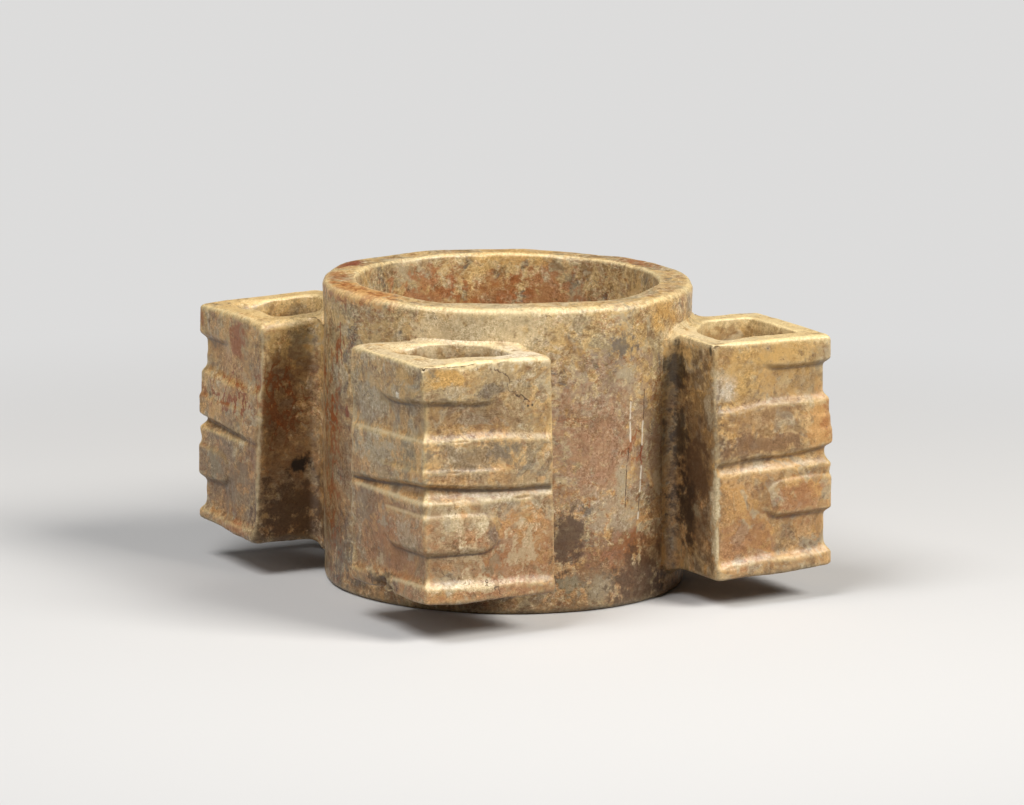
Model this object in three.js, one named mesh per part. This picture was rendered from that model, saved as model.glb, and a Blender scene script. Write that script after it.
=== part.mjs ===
// A squat cong in pale, weathered jade: a short open tube with four hollow corner prisms standing out of
// its wall, so that the plan is a circle inside a square. Every prism is carved in two registers that
// run round its outer corner, and a square socket passes down through it.
//
// Millimetres, +Z up. The origin is the middle of the base, and X and Y point out of the square's sides.

import * as THREE from "three";

// Tube
const TUBE_HEIGHT = 60.4;
const BORE_DIAMETER = 60;
const TUBE_WALL = 6.9; // measured at the top
const BASE_NARROWING = 0.8; // the outer radius is this much less at the base than at the rim
const COLLAR_ABOVE = 7.6; // bare tube above the prisms
const COLLAR_BELOW = 7.3; // bare tube below the prisms
const RIM_OUTER_ROUND = 1.4;
const RIM_INNER_ROUND = 0.9;
const TUBE_SEGMENTS = 72;
const ROUND_STEPS = 4;

// Corner prisms, in plan
const FACE_STANDOFF = 9.6; // from the tube's rim radius out to the plane of a carved face
const SIDE_RECESS_WIDTH = 38; // bare tube between two neighbouring prisms, square to the side
const CORNER_EDGE_ROUND = 0.7;
const RETURN_EDGE_ROUND = 0.9;
const END_EDGE_ROUND = 0.8; // outer edges of the top and the underside
const TUBE_FILLET = 2.2; // hollow curve where a prism runs into the tube
const FEATHER_SHARE = 0.8; // how much of the fillet's sweep is kept before its edge is cut square
const JOINT_GAP = 0.3; // between a prism's saddle and the tube

// Sockets
const SOCKET_FACE_WALL = 5.5; // behind a carved face
const SOCKET_RETURN_WALL = 4.5; // behind a plain return wall
const SOCKET_BACK_WEB = 1.5; // between the socket and the saddle
const SOCKET_ROUND = 2;
const SOCKET_EDGE = 0.6; // worn chamfer round both mouths
const SOCKET_CORNER_CUT = 1.2; // least cut across the socket's inner corner

// Carving, from the top of a prism down: heights. The plain zones take up what is left, in their shares.
const TOP_BAR_HEIGHT = 5;
const FRONT_BAR_EXTRA = 2.4; // the front prism's bar was left this much taller, out of its middle band
const BAR_UNDERCUT = 0.8;
const UPPER_FIELD_SHARE = 0.24;
const BAND_SLOPE = 2.2;
const MIDDLE_BAND_SHARE = 0.44;
const GROOVE_UNDERCUT = 1.5;
const GROOVE_FLOOR = 0.7;
const GROOVE_SLOPE = 1.6;
const GROOVE_SIDE_DROP = 2.2; // the groove's upper side is this much lower at the return edge
const LOWER_BAND_HEIGHT = 2.8;
const NOSE_STEP = 0.5;
const NOSE_BAR_HEIGHT = 6;
const NOSE_UNDERCUT = 1.1;
const LOWER_FIELD_SHARE = 0.32;
const LIP_SLOPE = 1.6;
const LIP_HEIGHT = 2.2;

// Carving: depths below the plane of the face, beside the corner edge and out at the return edge
const BAND_DEPTH = 0.15;
const FIELD_DEPTH = 1.1;
const GROOVE_DEPTH = 1.4;
const LOWER_BAND_DEPTH = 0.4;
const FIELD_EDGE_DEPTH = 0.35;
const GROOVE_EDGE_DEPTH = 0.8;
const LOWER_FIELD_EDGE_DEPTH = 0.55;
const BAR_REACH = 15; // length of the short bars along each face, from the corner
const BAR_END_FADE = 2.4; // length over which a bar's end runs out

const STONE_ROUGHNESS = 0.5;
const QUARTER = Math.PI / 2;

const boreRadius = BORE_DIAMETER / 2;
const rimRadius = boreRadius + TUBE_WALL;
const prismTop = TUBE_HEIGHT - COLLAR_ABOVE;
const prismHeight = prismTop - COLLAR_BELOW;
const upperCuts = TOP_BAR_HEIGHT + BAR_UNDERCUT + BAND_SLOPE;
const grooveCuts = GROOVE_UNDERCUT + GROOVE_FLOOR + GROOVE_SLOPE;
const lowerCuts = LOWER_BAND_HEIGHT + NOSE_BAR_HEIGHT + NOSE_UNDERCUT + LIP_SLOPE + LIP_HEIGHT;
const plainHeight = prismHeight - upperCuts - grooveCuts - lowerCuts;
const plainShares = UPPER_FIELD_SHARE + MIDDLE_BAND_SHARE + LOWER_FIELD_SHARE;
const middleBand = (plainHeight * MIDDLE_BAND_SHARE) / plainShares;
const frontBarExtra = Math.min(FRONT_BAR_EXTRA, middleBand / 2);
const facePlane = rimRadius + FACE_STANDOFF; // from the axis to a carved face
const returnPlane = SIDE_RECESS_WIDTH / 2; // from the axis to a plain return wall
const faceWidth = facePlane - returnPlane;
const barReach = Math.min(BAR_REACH, faceWidth - RETURN_EDGE_ROUND - BAR_END_FADE);

// Outer radius of the tube, which narrows evenly towards the base.
function tubeRadius(z) {
  return rimRadius - BASE_NARROWING * (1 - z / TUBE_HEIGHT);
}

// Points on a quarter or other arc, from one angle to another, both ends included.
function arc(centreX, centreY, radius, from, to, steps) {
  return Array.from({ length: steps + 1 }, (_, i) => {
    const angle = from + ((to - from) * i) / steps;
    return [centreX + radius * Math.cos(angle), centreY + radius * Math.sin(angle)];
  });
}

// Points strictly between two ends, evenly spaced.
function between(start, end, count) {
  return Array.from({ length: count }, (_, i) => {
    const t = (i + 1) / (count + 1);
    return [start[0] + (end[0] - start[0]) * t, start[1] + (end[1] - start[1]) * t];
  });
}

// The tube is one closed section turned round the axis: base, outer wall, rim, bore.
function tubeGeometry() {
  const [outer, inner] = [RIM_OUTER_ROUND, RIM_INNER_ROUND];
  const quarterArc = (radius, z, round, turn) => {
    return arc(radius, z, round, turn * QUARTER, (turn + 1) * QUARTER, ROUND_STEPS);
  };
  const section = [
    ...quarterArc(tubeRadius(0) - outer, outer, outer, -1),
    ...quarterArc(rimRadius - outer, TUBE_HEIGHT - outer, outer, 0),
    ...quarterArc(boreRadius + inner, TUBE_HEIGHT - inner, inner, 1),
    ...quarterArc(boreRadius + inner, inner, inner, 2),
  ].map(([radius, z]) => new THREE.Vector2(radius, z));
  section.push(section[0].clone());
  return new THREE.LatheGeometry(section, TUBE_SEGMENTS).rotateX(QUARTER);
}

// The carving as rows from the top down: how far below the top at the corner, how deep at the corner and
// at the return edge, and how much lower at the return edge. Between the rows the surface runs straight. A
// taller top bar takes its extra height from the middle band.
function carvingRows(barExtra) {
  const sideDrop = Math.min(GROOVE_SIDE_DROP, grooveCuts * 0.8);
  const steps = [
    [TOP_BAR_HEIGHT + barExtra, BAND_DEPTH, BAND_DEPTH, 0],
    [BAR_UNDERCUT, FIELD_DEPTH, FIELD_EDGE_DEPTH, 0],
    [(plainHeight * UPPER_FIELD_SHARE) / plainShares, FIELD_DEPTH, FIELD_EDGE_DEPTH, 0],
    [BAND_SLOPE, BAND_DEPTH, BAND_DEPTH, 0],
    [middleBand - barExtra, BAND_DEPTH, BAND_DEPTH, sideDrop],
    [GROOVE_UNDERCUT, GROOVE_DEPTH, GROOVE_EDGE_DEPTH, sideDrop * 0.7],
    [GROOVE_FLOOR, GROOVE_DEPTH, GROOVE_EDGE_DEPTH, sideDrop * 0.5],
    [GROOVE_SLOPE, LOWER_BAND_DEPTH, BAND_DEPTH, 0],
    [LOWER_BAND_HEIGHT, BAND_DEPTH, BAND_DEPTH, 0],
    [NOSE_STEP, 0, FIELD_EDGE_DEPTH, 0],
    [NOSE_BAR_HEIGHT - NOSE_STEP, 0, FIELD_EDGE_DEPTH, 0],
    [NOSE_UNDERCUT, FIELD_DEPTH, LOWER_FIELD_EDGE_DEPTH, 0],
    [(plainHeight * LOWER_FIELD_SHARE) / plainShares, FIELD_DEPTH, LOWER_FIELD_EDGE_DEPTH, 0],
    [LIP_SLOPE, BAND_DEPTH, BAND_DEPTH, 0],
  ];
  let drop = 0;
  return steps.map(([height, corner, edge, sag]) => {
    drop += height;
    return { drop, corner, edge, sag, inset: 0, lift: 0 };
  });
}

// The worn edge of the top as rows from the top down, or of the underside from below up: `inset` is how
// far the edge is worn in, and `lift` marks the row that follows the fillet, up or down.
function endRows(lift) {
  const half = END_EDGE_ROUND * (1 - Math.SQRT1_2);
  const plain = { corner: BAND_DEPTH, edge: BAND_DEPTH, sag: 0 };
  return [[0, END_EDGE_ROUND], [half, half], [END_EDGE_ROUND, 0]].map(([wear, inset], i) => {
    return { ...plain, drop: lift > 0 ? wear : prismHeight - wear, inset, lift: i === 0 ? lift : 0 };
  });
}

// Swaps the two faces of a prism, which mirror each other in its diagonal.
function mirrored(station) {
  const swap = ([x, y]) => [y, x];
  return { ...station, at: swap(station.at), cut: swap(station.cut), inset: swap(station.inset) };
}

// The outline of a prism in plan at one height, as stations round it: `at` is the point before carving,
// `cut` the way that carving pushes it, `inset` the way that a worn end pulls it, `along` its distance
// from the corner edge, and `rise` its share of the fillet on the end faces, which dies out towards both
// sides. The first half is listed and the other half is its mirror image.
function outerStations(z) {
  const saddle = tubeRadius(z) + JOINT_GAP;
  const wallLength = facePlane - Math.sqrt(saddle ** 2 - returnPlane ** 2);
  const fillet = Math.min(TUBE_FILLET, (wallLength - RETURN_EDGE_ROUND) / 2);
  const filletY = returnPlane - fillet;
  const filletX = Math.sqrt((saddle + fillet) ** 2 - filletY ** 2);
  const towardsTube = 2 * QUARTER + Math.atan2(filletY, filletX);
  const featherAngle = towardsTube + (QUARTER - towardsTube) * (1 - FEATHER_SHARE);
  const feather = arc(filletX, filletY, fillet, featherAngle, QUARTER, ROUND_STEPS);
  const featherPolar = Math.atan2(feather[0][1], feather[0][0]);

  const still = { cut: [0, 0], inset: [0, 0], along: faceWidth, rise: 1 };
  const flare = feather.map((at, i) => {
    const share = i / ROUND_STEPS;
    return { ...still, at, inset: [0, share], rise: share };
  });
  const edgeX = facePlane - RETURN_EDGE_ROUND;
  const edgeY = returnPlane + RETURN_EDGE_ROUND;
  const returnEdge = arc(edgeX, edgeY, RETURN_EDGE_ROUND, -QUARTER, 0, 2).map((at, i) => {
    return { ...still, at, cut: [-i / 2, 0], inset: [-i / 2, 1 - i / 2] };
  });
  const barEnd = barReach + BAR_END_FADE / 2;
  const barStart = barReach - BAR_END_FADE / 2;
  const lengths = [(faceWidth - RETURN_EDGE_ROUND + barEnd) / 2, barEnd, barReach, barStart, barReach / 2];
  const face = lengths.map((along) => ({
    ...still,
    at: [facePlane, facePlane - along],
    cut: [-1, 0],
    inset: [-1, 0],
    along,
  }));
  const cornerAt = facePlane - CORNER_EDGE_ROUND;
  const corner = arc(cornerAt, cornerAt, CORNER_EDGE_ROUND, 0, QUARTER, 2).map((at) => {
    return { ...still, at, cut: [-1, -1], inset: [-1, -1], along: 0 };
  });
  const half = [...flare, ...returnEdge, ...face];
  const seatSteps = 2 * ROUND_STEPS;
  const seat = arc(0, 0, saddle, QUARTER - featherPolar, featherPolar, seatSteps).map((at, i) => {
    return { ...still, at, rise: THREE.MathUtils.smoothstep(Math.min(i, seatSteps - i), 0, ROUND_STEPS - 1) };
  });
  return [...half, ...corner, ...half.toReversed().map(mirrored), ...seat];
}

// The outline of the socket, with one point for every outer station. `open` widens it for a worn mouth.
function socketOutline(open) {
  const low = returnPlane + SOCKET_RETURN_WALL - open;
  const high = facePlane - SOCKET_FACE_WALL + open;
  const saddle = rimRadius + JOINT_GAP;
  const back = Math.max(saddle + SOCKET_BACK_WEB, low * Math.SQRT2 + SOCKET_CORNER_CUT) - open;
  const footX = Math.sqrt(back ** 2 - low ** 2);
  const footAngle = Math.atan2(low, footX);
  const swap = ([x, y]) => [y, x];
  const foot = [footX, low];
  const returnRun = [foot, ...between(foot, [high - SOCKET_ROUND, low], ROUND_STEPS)];
  const returnTurn = arc(high - SOCKET_ROUND, low + SOCKET_ROUND, SOCKET_ROUND, -QUARTER, 0, 2);
  const faceRun = between([high, low + SOCKET_ROUND], [high, high - SOCKET_ROUND], 5);
  const cornerTurn = arc(high - SOCKET_ROUND, high - SOCKET_ROUND, SOCKET_ROUND, 0, QUARTER, 2);
  const half = [...returnRun, ...returnTurn, ...faceRun];
  const backRun = arc(0, 0, back, QUARTER - footAngle, footAngle, 2 * ROUND_STEPS + 2).slice(1, -1);
  return [...half, ...cornerTurn, ...half.toReversed().map(swap), ...backRun];
}

// How far the hollow curve at the tube lifts a prism's end face, at a point in plan.
function filletRise([x, y], z) {
  const clear = Math.hypot(x, y) - tubeRadius(z) - JOINT_GAP;
  const reach = Math.max(0, TUBE_FILLET - Math.max(0, clear));
  return TUBE_FILLET - Math.sqrt(TUBE_FILLET ** 2 - reach ** 2);
}

// One ring of the prism's outer surface, from a row of the carving or of a worn edge.
function outerRing({ drop, corner, edge, sag, inset, lift }) {
  const level = prismTop - drop;
  const [barStart, barEnd] = [barReach - BAR_END_FADE / 2, barReach + BAR_END_FADE / 2];
  return outerStations(level - sag).map(({ at, cut, inset: pull, along, rise }) => {
    const depth = THREE.MathUtils.lerp(corner, edge, THREE.MathUtils.smoothstep(along, barStart, barEnd));
    const x = at[0] + cut[0] * depth + pull[0] * inset;
    const y = at[1] + cut[1] * depth + pull[1] * inset;
    const z = level - (sag * along) / faceWidth;
    return [x, y, z + lift * rise * filletRise([x, y], z)];
  });
}

// One ring of the socket's wall.
function socketRing(drop, open, lift) {
  const z = prismTop - drop;
  return socketOutline(open).map(([x, y]) => [x, y, z + lift * filletRise([x, y], z)]);
}

// The ring half way between two others on an end face, following the fillet.
function endRing(outer, inner, drop, lift) {
  const z = prismTop - drop;
  return outer.map(([x, y], i) => {
    const point = [(x + inner[i][0]) / 2, (y + inner[i][1]) / 2];
    return [...point, z + lift * filletRise(point, z)];
  });
}

// A closed surface from rings that follow each other round a loop, like the skin of a ring doughnut.
function closedSurface(rings) {
  const around = rings[0].length;
  const index = [];
  rings.forEach((_, r) => {
    const here = r * around;
    const next = ((r + 1) % rings.length) * around;
    for (let i = 0; i < around; i++) {
      const j = (i + 1) % around;
      index.push(here + i, here + j, next + j, here + i, next + j, next + i);
    }
  });
  const geometry = new THREE.BufferGeometry();
  geometry.setAttribute("position", new THREE.Float32BufferAttribute(rings.flat(2), 3));
  geometry.setIndex(index);
  geometry.computeVertexNormals();
  return geometry;
}

// A prism on the (+X, +Y) corner: up the carved outside, over the top, down the socket and back under.
function prismGeometry(barExtra) {
  const rows = [...endRows(1), ...carvingRows(barExtra), ...endRows(-1).toReversed()];
  const outer = rows.toReversed().map(outerRing);
  const mouth = socketRing(0, SOCKET_EDGE, 1);
  const underMouth = socketRing(prismHeight, SOCKET_EDGE, -1);
  return closedSurface([
    ...outer,
    endRing(outer.at(-1), mouth, 0, 1),
    mouth,
    socketRing(SOCKET_EDGE, 0, 0),
    socketRing(prismHeight - SOCKET_EDGE, 0, 0),
    underMouth,
    endRing(outer[0], underMouth, prismHeight, -1),
  ]);
}

// Weathered jade: buff with an ochre cast, softly polished.
function jade(colour) {
  return new THREE.MeshStandardMaterial({ color: colour, roughness: STONE_ROUGHNESS, metalness: 0 });
}

const cong = new THREE.Group();

const tube = new THREE.Mesh(tubeGeometry(), jade(0xb39a70));
tube.name = "tube";
cong.add(tube);

const PRISMS = [
  { name: "corner_prism_back", turns: 0, barExtra: 0, colour: 0xb29a6e },
  { name: "corner_prism_left", turns: 1, barExtra: 0, colour: 0xad9a74 },
  { name: "corner_prism_front", turns: 2, barExtra: frontBarExtra, colour: 0xb59a6a },
  { name: "corner_prism_right", turns: 3, barExtra: 0, colour: 0xbb9d66 },
];
for (const { name, turns, barExtra, colour } of PRISMS) {
  const prism = new THREE.Mesh(prismGeometry(barExtra), jade(colour));
  prism.name = name;
  prism.rotation.z = turns * QUARTER;
  cong.add(prism);
}

export default cong;
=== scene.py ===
"""A squat cong in weathered jade: an open tube with four hollow corner prisms, carved in two registers.

Sizes are in millimetres until a mesh is made. The origin is the middle of the base, +Z is up, and X and Y
point out of the sides of the square plan.
"""

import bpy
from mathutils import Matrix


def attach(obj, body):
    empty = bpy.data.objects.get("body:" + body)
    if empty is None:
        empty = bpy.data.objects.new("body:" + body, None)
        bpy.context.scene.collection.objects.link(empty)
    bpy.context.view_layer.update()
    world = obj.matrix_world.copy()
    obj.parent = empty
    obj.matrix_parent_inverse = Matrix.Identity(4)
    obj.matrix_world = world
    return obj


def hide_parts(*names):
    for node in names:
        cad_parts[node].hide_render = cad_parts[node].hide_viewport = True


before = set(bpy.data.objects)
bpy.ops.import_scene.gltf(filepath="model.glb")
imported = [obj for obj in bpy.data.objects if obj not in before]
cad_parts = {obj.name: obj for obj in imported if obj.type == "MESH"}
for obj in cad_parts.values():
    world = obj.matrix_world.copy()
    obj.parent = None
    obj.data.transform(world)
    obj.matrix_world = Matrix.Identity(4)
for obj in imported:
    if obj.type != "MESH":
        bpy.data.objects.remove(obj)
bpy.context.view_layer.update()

import logging
import math
from dataclasses import dataclass, field
from enum import Enum
from typing import Any

import bpy
import numpy as np
from mathutils import Matrix

log = logging.getLogger("cong")
MM = 0.001
QUARTER = math.pi / 2
Point = tuple[float, float, float]

# Waves that hand work leaves in a surface and along its edges: height in mm, wavelength in mm and seed
HAND_WAVES = ((0.10, 21, 1), (0.04, 8, 2), (0.008, 2.2, 3))
EDGE_WAVES = ((0.09, 7.0, 4), (0.05, 2.6, 5))
EDGE_SPARED = 0.04

# How far round the tube, degrees, and how deep in it, mm, the foot of a prism's outline lies at each station
FOOT_TURNS, FOOT_DEPTHS = (3.6, 2.2, 1.0), (0.5, 0.2, 0.06)
SEAT_DEPTH = 0.8

# Stations round the tube, and along a prism's outline: five runs make a half, and between the two halves
# lie the tip at one end and the seat on the tube at the other
ROUND_STATIONS = 400
FOOT_STATIONS, FILLET_STATIONS, WALL_STATIONS, EDGE_STATIONS, FACE_STATIONS = 3, 9, 12, 6, 68
HALF_STATIONS = FOOT_STATIONS + FILLET_STATIONS + WALL_STATIONS + EDGE_STATIONS + FACE_STATIONS
TIP_STATIONS, SEAT_STATIONS = 7, 22
OUTLINE_RUNS = (HALF_STATIONS, TIP_STATIONS, HALF_STATIONS, SEAT_STATIONS)
FAR_FROM_CORNER = 30.0

# Levels up a prism's outside and down its socket, and rings round an end's edge and across the end
OUTSIDE_LEVELS, SOCKET_LEVELS = 226, 14
EDGE_RINGS, END_RINGS = 6, 11

# Times that a socket's outline is evened, and how much a scoop widens and deepens its mouth, mm
SOCKET_EVENINGS = 16
SCOOP_WIDTH, SCOOP_DEPTH = 2.6, 0.9

# Width of a carved face, and how far the hand strays from a carved line, over which length, mm
FACE_WIDTH = 27.5
WOBBLE, WOBBLE_LENGTH = 0.14, 17

# Heights, mm, and weights over which the carving is evened out
EVENING = ((-0.36, 0.25), (0.0, 0.5), (0.36, 0.25))


def display(red: int, green: int, blue: int) -> tuple[float, float, float, float]:
    """Turn a colour as it looks on a screen into a linear one.

    Args:
        red: Red, 0 to 255.
        green: Green, 0 to 255.
        blue: Blue, 0 to 255.

    Returns:
        Linear red, green, blue and an alpha of 1.
    """
    share = np.array([red, green, blue]) / 255
    linear = np.where(share <= 0.04045, share / 12.92, ((share + 0.055) / 1.055) ** 2.4)
    return (*map(float, linear), 1.0)


def ramp(value: np.ndarray, low: float, high: float) -> np.ndarray:
    """Rise softly from 0 at low to 1 at high, as 3t^2 - 2t^3.

    Args:
        value: Where to look.
        low: Where the rise starts.
        high: Where it ends.

    Returns:
        The share of the rise at each value.
    """
    share = np.clip((value - low) / (high - low), 0, 1)
    return share * share * (3 - 2 * share)


def ripple(points: np.ndarray, wavelength: float, seed: int, waves: int = 14) -> np.ndarray:
    """Smooth unevenness: a sum of plane sine waves in seeded directions, about 1 in size.

    Args:
        points: Places in mm, with x, y and z last.
        wavelength: Typical length of a wave in mm.
        seed: Which unevenness.
        waves: How many waves are added.

    Returns:
        One value for each place.
    """
    dice = np.random.default_rng(seed)
    heading = dice.normal(size=(waves, 3))
    heading /= np.linalg.norm(heading, axis=1, keepdims=True)
    number = 2 * np.pi / (wavelength * dice.uniform(0.7, 1.5, waves))
    phase = dice.uniform(0, 2 * np.pi, waves)
    return np.sin(points @ (heading * number[:, None]).T + phase).sum(-1) * math.sqrt(2 / waves)


class Tint(Enum):
    """Colours in the weathered jade."""

    BUFF = display(202, 164, 112)
    OCHRE = display(206, 160, 88)
    OLIVE = display(192, 164, 110)
    CREAM = display(248, 224, 168)
    BONE = display(218, 198, 158)
    CHALK = display(236, 226, 206)
    ASH = display(182, 166, 136)
    GREY = display(146, 132, 104)
    SLATE = display(102, 93, 82)
    ROSE = display(168, 112, 70)
    MAUVE = display(162, 136, 114)
    AMBER = display(202, 150, 88)
    RUST = display(148, 80, 31)
    OXBLOOD = display(130, 58, 30)
    BROWN = display(120, 84, 52)
    EARTH = display(112, 80, 46)
    UMBER = display(82, 57, 36)
    SOOT = display(34, 24, 19)


@dataclass(frozen=True)
class Stain:
    """A soft-edged patch of colour in the stone.

    Attributes:
        centre: Middle of the patch, mm.
        reach: Its half sizes along X, Y and Z, mm.
        tint: Its colour.
        strength: How much of the colour shows in the middle.
        ragged: How broken its edge is.
        fibrous: Whether it breaks up into fibres.
    """

    centre: Point
    reach: Point
    tint: Tint
    strength: float = 0.7
    ragged: float = 1.0
    fibrous: bool = False


@dataclass(frozen=True)
class Hairline:
    """A fine crack, saw mark or scuff.

    Attributes:
        start: One end, mm.
        end: The other end, mm.
        tint: Its colour.
        width: Half its width, mm.
        wander: How far it strays from the straight, mm.
        strength: How much of the colour shows.
        deep: How deep it is cut, where 0 is a scuff on the surface.
    """

    start: Point
    end: Point
    tint: Tint = Tint.UMBER
    width: float = 0.16
    wander: float = 1.0
    strength: float = 0.8
    deep: float = 2.4


@dataclass(frozen=True)
class Chip:
    """A flake knocked out of an edge.

    Attributes:
        centre: Middle of the flake, mm.
        radius: Its size, mm.
        depth: How deep it goes, mm.
    """

    centre: Point
    radius: float
    depth: float

    def bite(self, place: np.ndarray) -> np.ndarray:
        """Give how deep the flake bites: its depth in the middle, falling softly to nothing at a ragged edge.

        Args:
            place: Places in mm, with x, y and z last.

        Returns:
            The depth at each place, mm.
        """
        far = np.linalg.norm(place - np.array(self.centre), axis=2) / self.radius
        far = far + 0.18 * ripple(place, self.radius * 0.6, 6)
        rough = 1 + 0.2 * ripple(place, self.radius * 0.35, 7)
        return self.depth * ramp(far, 1.0, 0.35) * rough


class Graph:
    """Short ways of adding nodes to one node tree."""

    def __init__(self, tree: bpy.types.NodeTree) -> None:
        """Keep the tree that nodes go into."""
        self.tree = tree

    def add(self, kind: str, inputs: dict | None = None, **settings: Any) -> bpy.types.Node:
        """Add a node.

        Args:
            kind: Blender's name for the node.
            inputs: For each input, by name or place, a socket to link or a value to set.
            **settings: The node's own settings.

        Returns:
            The new node.
        """
        node = self.tree.nodes.new(kind)
        for name, value in settings.items():
            setattr(node, name, value)
        for key, value in (inputs or {}).items():
            if isinstance(value, bpy.types.NodeSocket):
                self.tree.links.new(value, node.inputs[key])
            else:
                node.inputs[key].default_value = value
        return node

    def sum(self, operation: str, *values: Any) -> bpy.types.NodeSocket:
        """Add a Math node on the given values and return its output."""
        return self.add("ShaderNodeMath", dict(enumerate(values)), operation=operation).outputs[0]

    def vector(self, operation: str, *values: Any, output: int = 0) -> bpy.types.NodeSocket:
        """Add a Vector Math node on the given values and return one of its outputs."""
        return self.add("ShaderNodeVectorMath", dict(enumerate(values)), operation=operation).outputs[output]

    def between(self, value: Any, low: Any, high: Any, out: tuple = (0, 1)) -> bpy.types.NodeSocket:
        """Add a soft Map Range from low and high to the ends of out, and return its output."""
        inputs = {0: value, 1: low, 2: high, 3: out[0], 4: out[1]}
        return self.add("ShaderNodeMapRange", inputs, interpolation_type="SMOOTHSTEP").outputs[0]

    def noise(self, place: Any, scale: Any, detail: float = 4, rough: float = 0.6) -> bpy.types.NodeSocket:
        """Add a Noise Texture and return its value."""
        inputs = {"Vector": place, "Scale": scale, "Detail": detail, "Roughness": rough}
        return self.add("ShaderNodeTexNoise", inputs).outputs[0]

    def scaled(self, value: Any, factor: Any) -> bpy.types.NodeSocket:
        """Multiply a colour or a vector by a number and return it."""
        inputs = {0: value, "Scale": factor}
        return self.add("ShaderNodeVectorMath", inputs, operation="SCALE").outputs[0]

    def swirl(self, place: Any, scale: float, reach: float) -> bpy.types.NodeSocket:
        """Give a smooth random offset up to about half the reach each way."""
        noise = self.add("ShaderNodeTexNoise", {"Vector": place, "Scale": scale, "Detail": 4.0})
        return self.scaled(self.vector("SUBTRACT", noise.outputs[1], (0.5, 0.5, 0.5)), reach)

    def layer(self, base: Any, tint: Any, share: Any) -> bpy.types.NodeSocket:
        """Lay a share of a colour over another, add a Mix node for it and return the mixed colour."""
        return self.add("ShaderNodeMix", {0: share, 6: base, 7: tint}, data_type="RGBA").outputs[2]


def new_group(name: str, sockets: dict[str, str], outputs: dict[str, str]) -> tuple[Graph, Any, Any]:
    """Start a shader node group.

    Args:
        name: The group's name.
        sockets: Its inputs, name to kind.
        outputs: Its outputs, name to kind.

    Returns:
        The graph, the input node and the output node.
    """
    tree = bpy.data.node_groups.new(name, "ShaderNodeTree")
    for way, items in (("INPUT", sockets), ("OUTPUT", outputs)):
        for label, kind in items.items():
            tree.interface.new_socket(name=label, in_out=way, socket_type=f"NodeSocket{kind}")
    graph = Graph(tree)
    return graph, graph.add("NodeGroupInput"), graph.add("NodeGroupOutput")


def body_group() -> bpy.types.NodeTree:
    """Build the group for the body of the stone: clouds of colour at several sizes, with veins between them.

    Returns:
        The group's tree.
    """
    graph, given, out = new_group(
        "jade body",
        {"Place": "Vector", "Ochre": "Float", "Grey": "Float", "Rose": "Float", "Brown": "Float",
         "Rust": "Float", "Fibre": "Float"},
        {"Color": "Color"},
    )
    plain = given.outputs["Place"]
    place = graph.vector("ADD", plain, graph.swirl(plain, 0.07, 12.0))

    def cloud(size: float, low: float, high: float, shift: float, rough: float = 0.64) -> Any:
        """One layer of clouds, moved aside by shift so that no two layers match."""
        moved = graph.vector("ADD", place, (shift, shift * 0.7, shift * 1.3))
        return graph.between(graph.noise(moved, 1 / size, math.log2(size / 0.9), rough), low, high)

    def vein(size: float, width: float, shift: float) -> Any:
        """Draw thin ridges where a noise passes its middle value.

        Args:
            size: Typical distance between veins, mm.
            width: Half their width, as a change of the noise.
            shift: How far the pattern is moved aside, mm.

        Returns:
            The mask of the veins.
        """
        moved = graph.vector("MULTIPLY_ADD", plain, (1.0, 1.0, 1.6), (shift, shift * 1.7, shift * 0.6))
        off = graph.sum("ABSOLUTE", graph.sum("SUBTRACT", graph.noise(moved, 1 / size, 6.0, 0.6), 0.5))
        return graph.between(off, 0.0, width, (1, 0))

    def times(first: Any, second: Any) -> Any:
        """The product of two numbers."""
        return graph.sum("MULTIPLY", first, second)

    amount = given.outputs
    height = graph.add("ShaderNodeSeparateXYZ", {0: place}).outputs[2]
    high = graph.between(height, 30.0, 54.0)
    low = graph.between(height, 18.0, 36.0, (1, 0))
    patchy = times(cloud(7.0, 0.44, 0.56, 301.0), amount["Fibre"])
    rusty = times(cloud(9.0, 0.50, 0.60, 251.0), amount["Rust"])
    layers = (
        (Tint.OCHRE, times(cloud(14.0, 0.47, 0.6, 11.0), amount["Ochre"])),
        (Tint.OLIVE, times(high, 0.6)),
        (Tint.ROSE, times(low, amount["Rose"])),
        (Tint.AMBER, times(times(cloud(8.0, 0.46, 0.58, 401.0), amount["Rust"]), 0.75)),
        (Tint.GREY, times(cloud(11.0, 0.495, 0.555, 47.0), amount["Grey"])),
        (Tint.BROWN, times(cloud(9.0, 0.51, 0.575, 91.0, 0.68), amount["Brown"])),
        (Tint.ASH, times(cloud(5.0, 0.555, 0.605, 173.0), 0.7)),
        (Tint.SLATE, times(cloud(5.0, 0.575, 0.64, 131.0), amount["Grey"])),
        (Tint.OCHRE, times(cloud(4.0, 0.55, 0.62, 211.0), 0.3)),
        (Tint.EARTH, times(cloud(2.4, 0.55, 0.65, 151.0, 0.72), 0.55)),
        (Tint.BONE, times(cloud(1.8, 0.57, 0.65, 191.0, 0.7), 0.25)),
        (Tint.CREAM, times(times(vein(3.4, 0.035, 7.0), amount["Fibre"]), 0.35)),
        (Tint.BONE, times(times(vein(2.6, 0.04, 317.0), patchy), 0.7)),
        (Tint.RUST, times(times(vein(3.0, 0.04, 353.0), patchy), 0.6)),
        (Tint.RUST, times(vein(5.0, 0.03, 61.0), rusty)),
    )
    tone = Tint.BUFF.value
    for tint, share in layers:
        tone = graph.layer(tone, tint.value, share)
    graph.tree.links.new(tone, out.inputs[0])
    return graph.tree


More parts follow.
